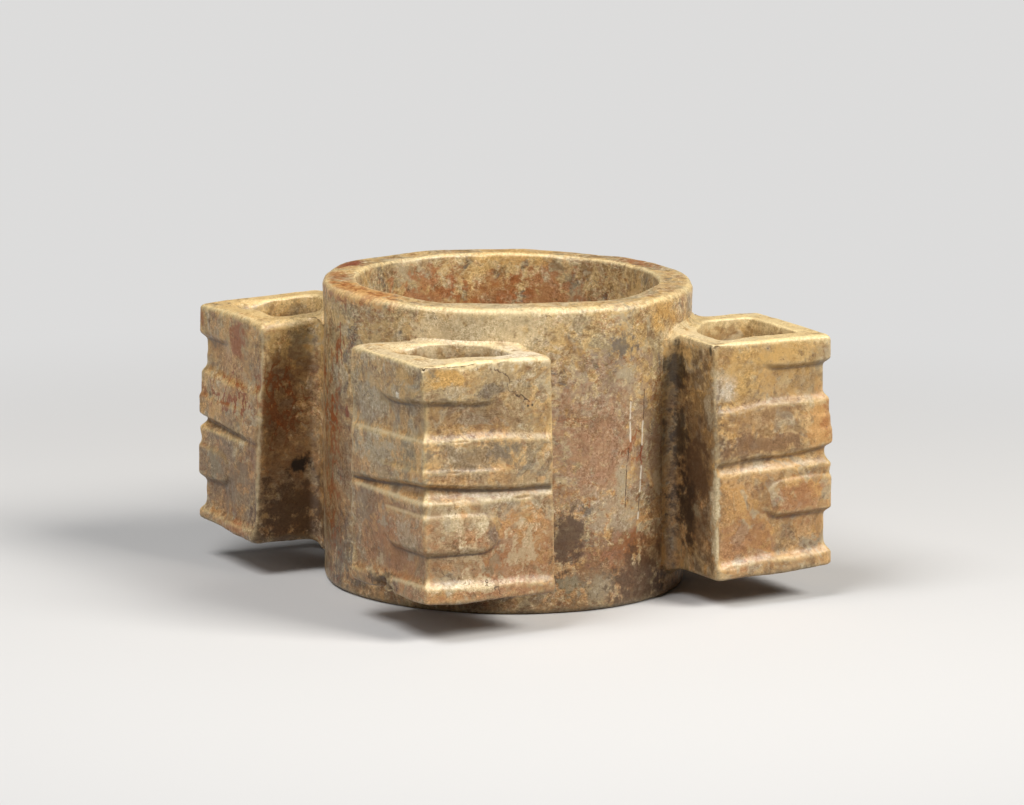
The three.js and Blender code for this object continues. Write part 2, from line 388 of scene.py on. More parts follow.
def grain_group() -> bpy.types.NodeTree:
    """Build the group for what lies on the stone: grain, dark pits, painted shade in the hollows and wear with
    a painted highlight on the edges.

    Returns:
        The group's tree.
    """
    graph, given, out = new_group(
        "jade grain",
        {"Color": "Color", "Place": "Vector", "Grain": "Float", "Worn": "Float", "Hollow": "Float"},
        {"Color": "Color", "Polish": "Float", "Height": "Float"},
    )
    place = given.outputs["Place"]
    mottle = graph.noise(graph.vector("MULTIPLY", place, (1.1, 1.1, 0.85)), 1.5, 9.0, 0.72)
    curl = graph.vector("ADD", place, graph.swirl(place, 0.9, 2.2))
    grain = graph.noise(graph.vector("MULTIPLY", curl, (0.7, 0.7, 2.2)), 2.2, 4.0, 0.7)
    pit = graph.between(graph.noise(place, 1.7, 2.0, 0.5), 0.67, 0.72)
    shade = graph.between(mottle, 0.28, 0.72, (0.74, 1.24))
    shade = graph.sum("MULTIPLY", shade, graph.between(grain, 0.28, 0.72, (0.69, 1.31)))
    patchy = graph.between(graph.noise(place, 0.17, 3.0), 0.4, 0.6, (0.4, 1.3))
    amount = graph.sum("MULTIPLY", given.outputs["Grain"], patchy)
    shade = graph.sum("MULTIPLY_ADD", graph.sum("SUBTRACT", shade, 1.0), amount, 1.0)
    powers = {0: shade, 1: graph.sum("POWER", shade, 1.2), 2: graph.sum("POWER", shade, 1.65)}
    tint = graph.add("ShaderNodeCombineXYZ", powers).outputs[0]
    tone = graph.vector("MULTIPLY", given.outputs["Color"], tint)
    tone = graph.vector("MINIMUM", tone, (0.9, 0.86, 0.78))
    tone = graph.layer(tone, Tint.UMBER.value, graph.sum("MULTIPLY", pit, 0.55))
    broken = graph.between(mottle, 0.32, 0.58, (0.25, 1))
    # Painted shade: umber, then soot where the hollow attribute is strong, darkening undercuts and recesses
    # where shade falls
    tone = graph.layer(tone, Tint.UMBER.value, graph.sum("MULTIPLY", given.outputs["Hollow"], 0.65))
    tone = graph.layer(tone, Tint.SOOT.value, graph.between(given.outputs["Hollow"], 0.5, 1.0, (0, 0.35)))
    # Wear and painted highlight: cream on outward edges, strongest where they face up
    wear = graph.sum("MULTIPLY", graph.sum("MULTIPLY", given.outputs["Worn"], broken), 0.7)
    tone = graph.layer(tone, Tint.CREAM.value, wear)
    height = graph.sum("MULTIPLY_ADD", grain, 0.4, mottle)
    height = graph.sum("MULTIPLY_ADD", pit, -0.5, height)
    graph.tree.links.new(tone, out.inputs["Color"])
    graph.tree.links.new(mottle, out.inputs["Polish"])
    graph.tree.links.new(height, out.inputs["Height"])
    return graph.tree


def stain_group() -> bpy.types.NodeTree:
    """Build the group for one stain: 1 in the middle of an ellipsoid, 0 outside, with a broken edge.

    Returns:
        The group's tree.
    """
    graph, given, out = new_group(
        "stain",
        {"Place": "Vector", "Centre": "Vector", "Reach": "Vector", "Ragged": "Float", "Rough": "Float",
         "Drift": "Vector"},
        {"Mask": "Float"},
    )
    drift = graph.scaled(given.outputs["Drift"], given.outputs["Ragged"])
    place = graph.vector("ADD", given.outputs["Place"], drift)
    away = graph.vector("SUBTRACT", place, given.outputs["Centre"])
    share = graph.vector("LENGTH", graph.vector("DIVIDE", away, given.outputs["Reach"]), output=1)
    broken = graph.sum("MULTIPLY_ADD", given.outputs["Rough"], given.outputs["Ragged"], share)
    graph.tree.links.new(graph.between(broken, 0.45, 0.95, (1, 0)), out.inputs[0])
    return graph.tree


def hairline_group() -> bpy.types.NodeTree:
    """Build the group for a hairline: 1 on a line between two places, 0 a width away along the surface.

    Returns:
        The group's tree.
    """
    graph, given, out = new_group(
        "hairline",
        {"Place": "Vector", "Start": "Vector", "End": "Vector", "Width": "Float", "Wander": "Float",
         "Stray": "Vector", "Normal": "Vector"},
        {"Mask": "Float"},
    )
    stray = graph.scaled(given.outputs["Stray"], given.outputs["Wander"])
    place = graph.vector("ADD", given.outputs["Place"], stray)
    run = graph.vector("SUBTRACT", given.outputs["End"], given.outputs["Start"])
    away = graph.vector("SUBTRACT", place, given.outputs["Start"])
    length = graph.vector("DOT_PRODUCT", run, run, output=1)
    part = graph.sum("DIVIDE", graph.vector("DOT_PRODUCT", away, run, output=1), length)
    held = graph.add("ShaderNodeClamp", {0: part}).outputs[0]
    off = graph.vector("SUBTRACT", away, graph.scaled(run, held))
    deep = graph.vector("DOT_PRODUCT", off, given.outputs["Normal"], output=1)
    flat = graph.vector("SUBTRACT", off, graph.scaled(given.outputs["Normal"], deep))
    mask = graph.between(graph.vector("LENGTH", flat, output=1), 0.0, given.outputs["Width"], (1, 0))
    near = graph.between(graph.sum("ABSOLUTE", deep), 2.0, 3.0, (1, 0))
    graph.tree.links.new(graph.sum("MULTIPLY", mask, near), out.inputs[0])
    return graph.tree


class Shared(Enum):
    """The shared groups, each by its name in the file."""

    BODY = "jade body"
    GRAIN = "jade grain"
    STAIN = "stain"
    HAIRLINE = "hairline"

    def place(self, graph: Graph, inputs: dict[str, Any]) -> bpy.types.Node:
        """Place this group in a material's graph, with the given inputs, and return its node."""
        return graph.add("ShaderNodeGroup", inputs, node_tree=bpy.data.node_groups[self.value])


@dataclass(frozen=True)
class JadeFinish:
    """Weathered jade: buff stone with ochre, grey and brown clouds, rust veins and a soft polish.

    Attributes:
        ochre: How much ochre shows.
        grey: How much grey shows.
        rose: How much reddish brown shows low down.
        brown: How much dull brown shows.
        rust: How much rust shows, as clouds and in the veins.
        fibre: How clearly the fine fibres show.
        grain: How strongly the fine grain shows.
        painted_shade: How much painted shade darkens the hollows.
        roughness: Middle roughness of the polish.
        stains: Patches that sit in one place.
        hairlines: Cracks, saw marks and scuffs.
    """

    ochre: float = 0.6
    grey: float = 0.5
    rose: float = 0.6
    brown: float = 0.3
    rust: float = 0.6
    fibre: float = 0.35
    grain: float = 1.0
    painted_shade: float = 1.0
    roughness: float = 0.4
    stains: tuple[Stain, ...] = ()
    hairlines: tuple[Hairline, ...] = ()

    def material(self, name: str) -> bpy.types.Material:
        """Make the material: body colour, then stains, grain, wear with painted highlight and painted shade,
        then cracks.

        Args:
            name: Its name.

        Returns:
            The material.
        """
        material = bpy.data.materials.new(name)
        material.use_nodes = True
        material.node_tree.nodes.clear()
        graph = Graph(material.node_tree)
        where = graph.add("ShaderNodeTexCoord")
        place = graph.scaled(where.outputs["Object"], 1 / MM)
        rough = graph.sum("SUBTRACT", graph.noise(place, 0.5, 4.0, 0.68), 0.5)
        rough = graph.sum("MULTIPLY", rough, 3.2)
        tall = graph.vector("MULTIPLY", place, (1, 1, 0.7))
        off = graph.sum("SUBTRACT", graph.noise(tall, 0.3, 4.0, 0.55), 0.5)
        fibre = graph.between(graph.sum("ABSOLUTE", off), 0.0, 0.07, (-0.5, 0.8))
        fibre = graph.sum("MULTIPLY_ADD", rough, 0.45, fibre)
        drift = graph.swirl(place, 0.22, 7.0)
        stray = graph.swirl(place, 0.6, 3.6)
        gaps = graph.between(graph.noise(place, 1.1, 3.0), 0.36, 0.48, (0.55, 1))
        amounts = {"Ochre": self.ochre, "Grey": self.grey, "Rose": self.rose, "Brown": self.brown}
        amounts |= {"Rust": self.rust, "Fibre": self.fibre}
        tone = Shared.BODY.place(graph, {"Place": place, **amounts}).outputs[0]
        for stain in self.stains:
            inputs = {"Place": place, "Centre": stain.centre, "Reach": stain.reach, "Ragged": stain.ragged}
            inputs |= {"Rough": fibre if stain.fibrous else rough, "Drift": drift}
            mask = Shared.STAIN.place(graph, inputs).outputs[0]
            tone = graph.layer(tone, stain.tint.value, graph.sum("MULTIPLY", mask, stain.strength))
        painted = {
            label: graph.add("ShaderNodeAttribute", attribute_name=label.lower()).outputs["Fac"]
            for label in ("Worn", "Hollow")
        }
        # Scale the painted shade in the hollows by this stone's amount
        painted["Hollow"] = graph.sum("MULTIPLY", painted["Hollow"], self.painted_shade)
        inputs = {"Color": tone, "Place": place, "Grain": self.grain, **painted}
        grain = Shared.GRAIN.place(graph, inputs)
        tone, height = grain.outputs["Color"], grain.outputs["Height"]
        for line in self.hairlines:
            inputs = {"Place": place, "Start": line.start, "End": line.end, "Width": line.width}
            inputs |= {"Wander": line.wander, "Stray": stray, "Normal": where.outputs["Normal"]}
            mask = graph.sum("MULTIPLY", Shared.HAIRLINE.place(graph, inputs).outputs[0], gaps)
            tone = graph.layer(tone, line.tint.value, graph.sum("MULTIPLY", mask, line.strength))
            height = graph.sum("MULTIPLY_ADD", mask, -line.deep, height)
        bump = graph.add("ShaderNodeBump", {"Strength": 0.25, "Distance": 0.00025, "Height": height})
        bounds = (self.roughness + 0.14, self.roughness - 0.1)
        shader = graph.add("ShaderNodeBsdfPrincipled", {
            "Base Color": tone,
            "Roughness": graph.between(grain.outputs["Polish"], 0.3, 0.7, bounds),
            "Normal": bump.outputs[0],
            "IOR": 1.55,
        })
        out = graph.add("ShaderNodeOutputMaterial")
        graph.tree.links.new(shader.outputs[0], out.inputs[0])
        return material


@dataclass
class RingSurface:
    """A closed surface on a grid of points, rings by stations, that joins up both ways.

    Attributes:
        points: Places in mm, rings by stations by 3.
        recess: How deep each place lies in the carving, rings by stations, mm.
    """

    points: np.ndarray
    recess: np.ndarray

    def normals(self) -> np.ndarray:
        """Give the outward normals: the cross product of the steps along and across the rings.

        Returns:
            Unit normals, rings by stations by 3.
        """
        along = np.roll(self.points, -1, 1) - np.roll(self.points, 1, 1)
        across = np.roll(self.points, -1, 0) - np.roll(self.points, 1, 0)
        normal = np.cross(along, across)
        return normal / np.maximum(np.linalg.norm(normal, axis=2, keepdims=True), 1e-9)

    def bends(self, reach: int = 2) -> tuple[np.ndarray, np.ndarray]:
        """Measure how sharply the surface bends outwards and inwards.

        Along each way of the grid the bend is the turn between the steps to both neighbours, over their
        length.

        Args:
            reach: How many grid steps away the neighbours are.

        Returns:
            The sharpest outward bend and the sharpest inward bend at each point, per mm.
        """
        normal = self.normals()
        found = []
        for way in (0, 1):
            ahead = np.roll(self.points, -reach, way) - self.points
            behind = np.roll(self.points, reach, way) - self.points
            long = np.maximum(np.linalg.norm(ahead, axis=2), 1e-6)
            back = np.maximum(np.linalg.norm(behind, axis=2), 1e-6)
            turn = ahead / long[..., None] + behind / back[..., None]
            found.append(-(turn * normal).sum(2) / (0.5 * (long + back)))
        return np.maximum(*found), -np.minimum(*found)

    def work_by_hand(self, chips: tuple[Chip, ...]) -> None:
        """Make the surface uneven as hand work leaves it, and knock the chips out.

        Args:
            chips: The chips on this piece.
        """
        normal = self.normals()
        convex, _ = self.bends()
        place = self.points
        off_base = ramp(place[..., 2], 0.0, 1.5)
        push = sum(size * ripple(place, wavelength, seed) for size, wavelength, seed in HAND_WAVES)
        worn = sum(size * ripple(place, wavelength, seed) for size, wavelength, seed in EDGE_WAVES)
        push -= ramp(convex, 0.25, 0.9) * np.clip(worn - EDGE_SPARED, 0, None)
        for chip in chips:
            push -= chip.bite(place)
        self.points = place + normal * (push * off_base)[..., None]

    def to_object(self, name: str) -> bpy.types.Object:
        """Make a Blender object, with the wear and painted highlight and the painted shade at each point kept
        as attributes.

        Edges that bend outwards are worn and carry a painted highlight, most where they look up; those that
        bend inwards carry painted shade, most below an overhang, and so do places deep in the carving.

        Args:
            name: Its name.

        Returns:
            The object, linked into the scene.
        """
        rings, stations = self.points.shape[:2]
        ring, station = np.meshgrid(np.arange(rings), np.arange(stations), indexing="ij")
        here, ahead = ring * stations, (ring + 1) % rings * stations
        beside = (station + 1) % stations
        corners = [here + station, here + beside, ahead + beside, ahead + station]
        quads = np.stack(corners, axis=2).reshape(-1, 4)
        mesh = bpy.data.meshes.new(name)
        mesh.vertices.add(rings * stations)
        mesh.vertices.foreach_set("co", (self.points * MM).astype(np.float32).ravel())
        mesh.loops.add(quads.size)
        mesh.loops.foreach_set("vertex_index", quads.astype(np.int32).ravel())
        mesh.polygons.add(len(quads))
        mesh.polygons.foreach_set("loop_start", np.arange(0, quads.size, 4, dtype=np.int32))
        mesh.polygons.foreach_set("use_smooth", np.ones(len(quads), dtype=bool))
        mesh.update()
        convex, hollow = self.bends()
        facing = self.normals()[..., 2]
        # Wear and painted highlight: outward edges count more where they face up, as if lit from above
        upward = 0.3 + 0.7 * ramp(facing, -0.1, 0.7)
        # Painted shade: inward bends count more just below an overhang, where shade falls
        under = 0.25 + 0.75 * ramp(-np.roll(facing, -3, 0), 0.05, 0.35)
        # Painted shade in inward bends and deep in the carving, kept as the hollow attribute
        painted_shade = np.maximum(ramp(hollow, 0.3, 1.0) * under, 0.35 * ramp(self.recess, 0.4, 1.3))
        for label, value, times in (("worn", ramp(convex, 0.15, 0.9) * upward, 4), ("hollow", painted_shade, 1)):
            share = soften(value, times).astype(np.float32).ravel()
            mesh.attributes.new(label, "FLOAT", "POINT").data.foreach_set("value", share)
        piece = bpy.data.objects.new(name, mesh)
        bpy.context.scene.collection.objects.link(piece)
        return piece


def soften(values: np.ndarray, times: int) -> np.ndarray:
    """Even out values on a closed grid by averaging each with its four neighbours, several times.

    Args:
        values: The values, rings by stations.
        times: How many times.

    Returns:
        The evened values.
    """
    for _ in range(times):
        around = sum(np.roll(values, step, way) for way in (0, 1) for step in (-1, 1))
        values = 0.4 * values + 0.15 * around
    return values


@dataclass
class Tube:
    """The round open tube, with a flat rim and a flat base.

    Attributes:
        height: From base to rim, mm.
        bore: Radius of the bore, mm.
        rim: Outer radius at the rim, mm.
        base: Outer radius at the base, mm.
        centre: Where its axis stands in plan, mm.
        tilt: How much the rim rises along X and along Y, mm for each mm.
        outer_round: Rounding of the outer edges, mm.
        inner_round: Rounding of the bore's edges, mm.
        finish: Its stone.
    """

    height: float = 60.4
    bore: float = 30.0
    rim: float = 36.9
    base: float = 36.1
    centre: tuple[float, float] = (-1.0, 0.6)
    tilt: tuple[float, float] = (0.0077, 0.0130)
    outer_round: float = 1.3
    inner_round: float = 0.7
    finish: JadeFinish = field(default_factory=JadeFinish)

    def radius(self, height: np.ndarray) -> np.ndarray:
        """Give the outer radius at a height, which narrows evenly towards the base."""
        return self.base + (self.rim - self.base) * height / self.height

    def section(self) -> np.ndarray:
        """Give the closed section: up the outside, over the rim, down the bore and out under the base.

        Returns:
            Radius and height along the section, mm.
        """
        outer, inner, top = self.outer_round, self.inner_round, self.height
        turn = np.linspace(0, 1, 8)

        def bend(radius: float, height: float, round_: float, quarter: int) -> np.ndarray:
            """A quarter turn about a centre, starting at the given quarter."""
            angle = (quarter + turn) * QUARTER
            return np.stack([radius + round_ * np.cos(angle), height + round_ * np.sin(angle)], 1)

        def run(start: np.ndarray, end: np.ndarray, count: int) -> np.ndarray:
            """Points strictly between two ends."""
            share = np.linspace(0, 1, count + 2)[1:-1, None]
            return start + (end - start) * share

        corners = [
            bend(self.base - outer, outer, outer, -1),
            bend(self.rim - outer, top - outer, outer, 0),
            bend(self.bore + inner, top - inner, inner, 1),
            bend(self.bore + inner, inner, inner, 2),
        ]
        counts = (96, 8, 48, 6)
        parts = []
        for index, corner in enumerate(corners):
            following = corners[(index + 1) % 4]
            parts += [corner, run(corner[-1], following[0], counts[index])]
        return np.concatenate(parts)

    def build(self) -> bpy.types.Object:
        """Turn the section round the axis, work it by hand and dress it.

        Returns:
            The finished piece.
        """
        section = self.section()
        angle = np.linspace(0, 2 * np.pi, ROUND_STATIONS, endpoint=False)
        radius, height = section[:, 0, None], section[:, 1, None]
        x, y = radius * np.cos(angle), radius * np.sin(angle)
        lift = (self.tilt[0] * x + self.tilt[1] * y + 0.15) * ramp(height, 35, 60)
        points = np.stack([x + self.centre[0], y + self.centre[1], height + lift], 2)
        surface = RingSurface(points, np.zeros(points.shape[:2]))
        surface.work_by_hand(())
        return dressed(surface, "tube", self.finish)


def dressed(surface: RingSurface, node: str, finish: JadeFinish) -> bpy.types.Object:
    """Make a surface into the piece that stands for a solid of the frame.

    Args:
        surface: Its shape.
        node: The solid it stands for.
        finish: Its stone.

    Returns:
        The finished piece.
    """
    piece = surface.to_object(f"{node}_stone")
    piece.data.materials.append(finish.material(f"{node} jade"))
    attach(piece, "root")
    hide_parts(node)
    log.info("%s: %d points", piece.name, len(piece.data.vertices))
    return piece


class Corner(Enum):
    """The four corners, as quarter turns from the one between +X and +Y."""

    BACK = 0
    LEFT = 1
    FRONT = 2
    RIGHT = 3


class Ease(Enum):
    """How a cut goes in or comes out between its two heights."""

    UNDERCUT = "in fast, then flat"
    SCOOP = "slow, then out to a crest"
    SOFT = "evenly"

    def shape(self, share: np.ndarray) -> np.ndarray:
        """Give how much of the cut is made: a power of the share, or 3t^2 - 2t^3.

        Args:
            share: Shares of the cut's height, 0 to 1.

        Returns:
            How much is made at each share.
        """
        if self is Ease.UNDERCUT:
            return 1 - (1 - share) ** 2.4
        if self is Ease.SCOOP:
            return share ** 2.3
        return share * share * (3 - 2 * share)


@dataclass(frozen=True)
class Cut:
    """One step cut into the faces of a prism, from the corner out to the return edges.

    Attributes:
        top: Height where it starts, at the corner, mm.
        drop: How far below that it is complete, mm.
        depth: Change of depth beside the corner, inwards positive, mm.
        side_depth: The same out at the return edge, mm.
        side_drop: How much lower it lies at the return edge, mm.
        reach: Distance from the corner where the one depth turns into the other, mm.
        fade: Half the length over which it turns, mm.
        curl: How much it bends up at that distance, mm.
        ease: How it goes in.
    """

    top: float
    drop: float
    depth: float
    side_depth: float
    side_drop: float = 0.0
    reach: float = 15.0
    fade: float = 3.0
    curl: float = 0.0
    ease: Ease = Ease.SOFT

    def amount(self, height: np.ndarray, along: np.ndarray, wobble: np.ndarray) -> np.ndarray:
        """Give the depth that this cut adds: its depth at that distance, times its ease at that height.

        Args:
            height: Heights, mm.
            along: Distances from the corner, mm.
            wobble: How far the hand strayed from the line, mm.

        Returns:
            The added depth, mm.
        """
        side = ramp(along, self.reach - self.fade, self.reach + self.fade)
        bend = self.curl * np.clip((along - self.reach + 3.4) / 3.8, 0, 1) ** 2
        line = self.top - self.side_drop * along / FACE_WIDTH + bend + wobble
        share = np.clip((line - height) / self.drop, 0, 1)
        return (self.depth + (self.side_depth - self.depth) * side) * self.ease.shape(share)


@dataclass(frozen=True)
class Lean:
    """How far a wall stands out from its place, at the top and at the bottom, mm."""

    top: float = 0.0
    bottom: float = 0.0

    def at(self, share: np.ndarray) -> np.ndarray:
        """Give how far it stands out at a share of the height."""
        return self.bottom + (self.top - self.bottom) * share


@dataclass
class Outline:
    """A prism's outline in plan at several levels.

    Attributes:
        places: Places in mm, levels by stations by 2.
        cut: The way that carving moves each station, stations by 2.
        slide: The way that carving at the corner moves each station, stations by 2.
        pull: The way that a worn end moves each station, stations by 2.
        along: Distance of each station from the corner, levels by stations, mm.
    """

    places: np.ndarray
    cut: np.ndarray
    slide: np.ndarray
    pull: np.ndarray
    along: np.ndarray

    def mirrored(self) -> "Outline":
        """Give the outline with X and Y exchanged, run backwards.

        Returns:
            The mirrored outline.
        """
        return Outline(
            self.places[:, ::-1, ::-1],
            self.cut[::-1, ::-1],
            self.slide[::-1, ::-1],
            self.pull[::-1, ::-1],
            self.along[:, ::-1],
        )

    @staticmethod
    def joined(parts: "list[Outline]") -> "Outline":
        """Join outlines end to end.

        Args:
            parts: The outlines in order.

        Returns:
            The whole outline.
        """
        return Outline(
            np.concatenate([part.places for part in parts], 1),
            np.concatenate([part.cut for part in parts]),
            np.concatenate([part.slide for part in parts]),
            np.concatenate([part.pull for part in parts]),
            np.concatenate([part.along for part in parts], 1),
        )


@dataclass
class CornerPrism:
    """A hollow square prism on one corner of the tube, with a carved face on each side of its edge.

    Attributes:
        corner: Which corner it stands on.
        tube: The tube that it stands on.
        top: Height of its top at the corner, mm.
        bottom: Height of its underside at the corner, mm.
        bar: Height of the top bar's lower edge, mm.
        crest: Height of the middle band's upper edge, mm.
        ledges: Heights of the fine steps in the middle band, mm.
        groove: Height of the middle band's lower edge, mm.
        lower: Height of the lower register's upper edge, mm.
        nose: Heights of the nose bar's upper and lower edges, mm.
        lip: Height of the lip's upper edge, mm.
        sunk: Depth of the two fields beside the corner, mm.
        trench: Depth of the groove beside the corner, mm.
        reaches: How far the top bar and the nose bar run from the corner, mm.
        face: Distance from the axis to a carved face, mm.
        side: Distance from the axis to a plain return wall, mm.
        face_leans: How far the two carved faces stand out.
        side_leans: How far the two return walls stand out.
        tilt: How much the top rises away from each face, mm for each mm.
        under_tilt: How much the underside drops away from each face, mm for each mm.
        edge: Rounding of the outer corner, mm.
        side_edge: Rounding of the return edges, mm.
        end_edge: Rounding round the top and the underside, mm.
        end_wear: How much more the ends are rounded at each of the two return edges, as a share.
        fillet: Hollow curve between return wall and tube, mm.
        top_fillet: Hollow curve between top and tube, mm.
        under_fillet: Hollow curve between underside and tube, mm.
        face_wall: Stone between a carved face and the socket, mm.
        side_wall: Stone between a return wall and the socket, mm.
        web: Stone between the socket and the tube, mm.
        socket_round: Rounding of the socket's corners, mm.
        mouth: Rounding of the socket's mouth, mm.
        scoop: Where in plan the top is hollowed out towards the socket, as seen from this corner, mm.
        finish: Its stone.
        chips: Flakes knocked out of it.
    """

    corner: Corner
    tube: Tube
    top: float = 52.8
    bottom: float = 7.6
    bar: float = 46.6
    crest: float = 39.2
    ledges: tuple[float, ...] = (33.6,)
    groove: float = 30.6
    lower: float = 27.1
    nose: tuple[float, float] = (24.5, 17.7)
    lip: float = 10.6
    sunk: float = 1.15
    trench: float = 1.35
    reaches: tuple[float, float] = (15.5, 15.5)
    face: float = 46.5
    side: float = 19.0
    face_leans: tuple[Lean, Lean] = (Lean(), Lean())
    side_leans: tuple[Lean, Lean] = (Lean(), Lean())
    tilt: tuple[float, float] = (0.0, 0.0)
    under_tilt: tuple[float, float] = (0.02, 0.02)
    edge: float = 0.7
    side_edge: float = 1.2
    end_edge: float = 0.7
    end_wear: tuple[float, float] = (1.1, 1.1)
    fillet: float = 2.2
    top_fillet: float = 2.0
    under_fillet: float = 2.6
    face_wall: float = 5.5
    side_wall: float = 4.5
    web: float = 1.5
    socket_round: float = 3.0
    mouth: float = 0.6
    scoop: tuple[float, float] = (40.0, 40.0)
    finish: JadeFinish = field(default_factory=JadeFinish)
    chips: tuple[Chip, ...] = ()

    def cuts(self) -> list[Cut]:
        """List the cuts of the carving from the top down.

        Returns:
            The cuts.
        """
        bar, nose = self.reaches
        up, low = self.nose
        ledge = 0.34 / len(self.ledges)
        steps = [
            Cut(self.top - 2, 11.0, 0.0, 0.75, 0.0, bar, 3.0),
            Cut(self.bar + 0.2, 1.2, self.sunk, 0.0, 0.5, bar, 3.0, 0.6, Ease.UNDERCUT),
            Cut(self.crest + 2.0, 2.0, 0.22 - self.sunk, -0.7, 1.2, bar, 3.0, 0.0, Ease.SCOOP),
        ]
        steps += [Cut(at + 0.4, 0.4, -ledge, 0.0, 0.9, 17.0, 2.0, 0.0, Ease.SCOOP) for at in self.ledges]
        steps += [
            Cut(self.groove + 0.1, 0.8, self.trench, 1.0, 2.2, 13.0, 9.0, 0.0, Ease.UNDERCUT),
            Cut(self.lower + 2.2, 2.2, 0.1 - self.trench, -0.85, 0.5, 13.0, 9.0, 0.0, Ease.SCOOP),
            Cut(self.lower - 0.2, 2.0, 0.26, 0.1, 0.5, nose, 3.0),
            Cut(up + 0.5, 0.6, -0.36, 0.0, 0.6, nose, 1.0, -2.0, Ease.SOFT),
            Cut(up - 1, 11.0, 0.0, 0.75, 0.0, nose, 3.0),
            Cut(low + 0.2, 1.2, self.sunk, 0.0, 0.8, nose, 3.0, 1.6, Ease.UNDERCUT),
            Cut(self.lip + 2.0, 2.0, 0.1 - self.sunk, -0.9, 1.4, nose, 3.0, 0.0, Ease.SCOOP),
        ]
        return steps

    def depth(self, height: np.ndarray, along: np.ndarray, side: np.ndarray) -> np.ndarray:
        """Give the depth of the carving, the sum of what its cuts add, evened out a little up and down.

        Args:
            height: Heights, mm.
            along: Distances from the corner, mm.
            side: Which face, -1 or 1.

        Returns:
            The depth, mm.
        """
        place = np.stack(np.broadcast_arrays(along * side, height * 0, height * 0), -1)
        total = np.zeros(np.broadcast(height, along).shape)
        for index, cut in enumerate(self.cuts()):
            wobble = WOBBLE * ripple(place, WOBBLE_LENGTH, 100 * self.corner.value + index)
            for shift, weight in EVENING:
                total = total + weight * cut.amount(height + shift, along, wobble)
        return total

    def centre(self) -> np.ndarray:
        """Give the tube's axis in plan as seen from this corner.

        Returns:
            X and Y, mm.
        """
        turn = self.corner.value * QUARTER
        x, y = self.tube.centre
        return np.array([x * math.cos(turn) + y * math.sin(turn), y * math.cos(turn) - x * math.sin(turn)])

    def level(self, plan: np.ndarray, upward: bool) -> np.ndarray:
        """Give the height of the top or the underside.

        It is the tilted plane, and a hollow quarter circle against the tube that dies away at the return walls
        and falls off beyond them.

        Args:
            plan: Places in plan, mm.
            upward: The top, or else the underside.

        Returns:
            Heights, mm.
        """
        away = self.face - plan
        if upward:
            flat, fillet, sign = self.top + away @ np.array(self.tilt), self.top_fillet, 1.0
        else:
            flat, fillet, sign = self.bottom - away @ np.array(self.under_tilt), self.under_fillet, -1.0
        clear = np.linalg.norm(plan - self.centre(), axis=-1) - self.tube.radius(flat)
        near = np.clip(fillet - clear, 0, 0.92 * fillet)
        inset = plan.min(-1) - self.side
        rise = (fillet - np.sqrt(fillet**2 - near**2)) * ramp(inset, -3.0, 1.0) - 1.2 * ramp(-inset, 1.2, 2.6)
        return flat + sign * (rise + 1.5 * np.clip(-clear, 0, None))

    def half_outline(self, tube: np.ndarray, centre: np.ndarray, walls: tuple[np.ndarray, ...]) -> Outline:
        """Give half the outline, from the tube along a return wall and a face up to the corner.

        Args:
            tube: Radius of the tube at each level, mm.
            centre: The tube's axis in plan, mm.
            walls: At each level the face's X, the return wall's Y and the other face's Y, mm.

        Returns:
            The half outline.
        """
        face, side, end = (wall[:, None] for wall in walls)
        turn, round_ = self.fillet, self.side_edge
        y = side - turn - centre[1]
        x = np.sqrt((tube[:, None] + turn) ** 2 - y**2)
        foot = np.arctan2(y, x)
        share = np.linspace(0, 1, FILLET_STATIONS)
        angle = np.pi + foot + (QUARTER - np.pi - foot) * share
        back = foot - np.radians(FOOT_TURNS)
        sunk = tube[:, None] - np.array(FOOT_DEPTHS)
        start, stop = x + centre[0], face - round_
        bend = np.linspace(-QUARTER, 0, EDGE_STATIONS)
        out = np.linspace(0, 1, WALL_STATIONS + 2)[1:-1]
        run = np.linspace(0, 1, FACE_STATIONS + 2)[1:-1]
        low, high = side + round_, end - self.edge
        pieces = [
            (centre[0] + sunk * np.cos(back), centre[1] + sunk * np.sin(back)),
            (start + turn * np.cos(angle), y + centre[1] + turn * np.sin(angle)),
            (start + (stop - start) * out, side),
            (stop + round_ * np.cos(bend), side + round_ * (1 + np.sin(bend))),
            (face, low + (high - low) * run),
        ]
        places = np.concatenate([np.stack(np.broadcast_arrays(*piece), 2) for piece in pieces], 1)
        stops = np.cumsum([FOOT_STATIONS, FILLET_STATIONS, WALL_STATIONS, EDGE_STATIONS, FACE_STATIONS])
        hollow, plain, edge, carved = (slice(*stops[index:index + 2]) for index in range(4))
        cut, slide, pull = (np.zeros((HALF_STATIONS, 2)) for _ in range(3))
        cut[edge, 0] = -np.linspace(0, 1, EDGE_STATIONS) ** 2
        cut[carved, 0] = -1
        slide[carved, 1] = -(run**6)
        pull[hollow, 1] = share
        pull[plain, 0] = -(out**4)
        pull[plain, 1] = 1
        pull[edge] = -1, 1
        pull[carved, 0] = -1
        pull[carved, 1] = (1 - run) ** 6
        return Outline(places, cut, slide, pull, np.maximum(end - places[:, :, 1], 0))

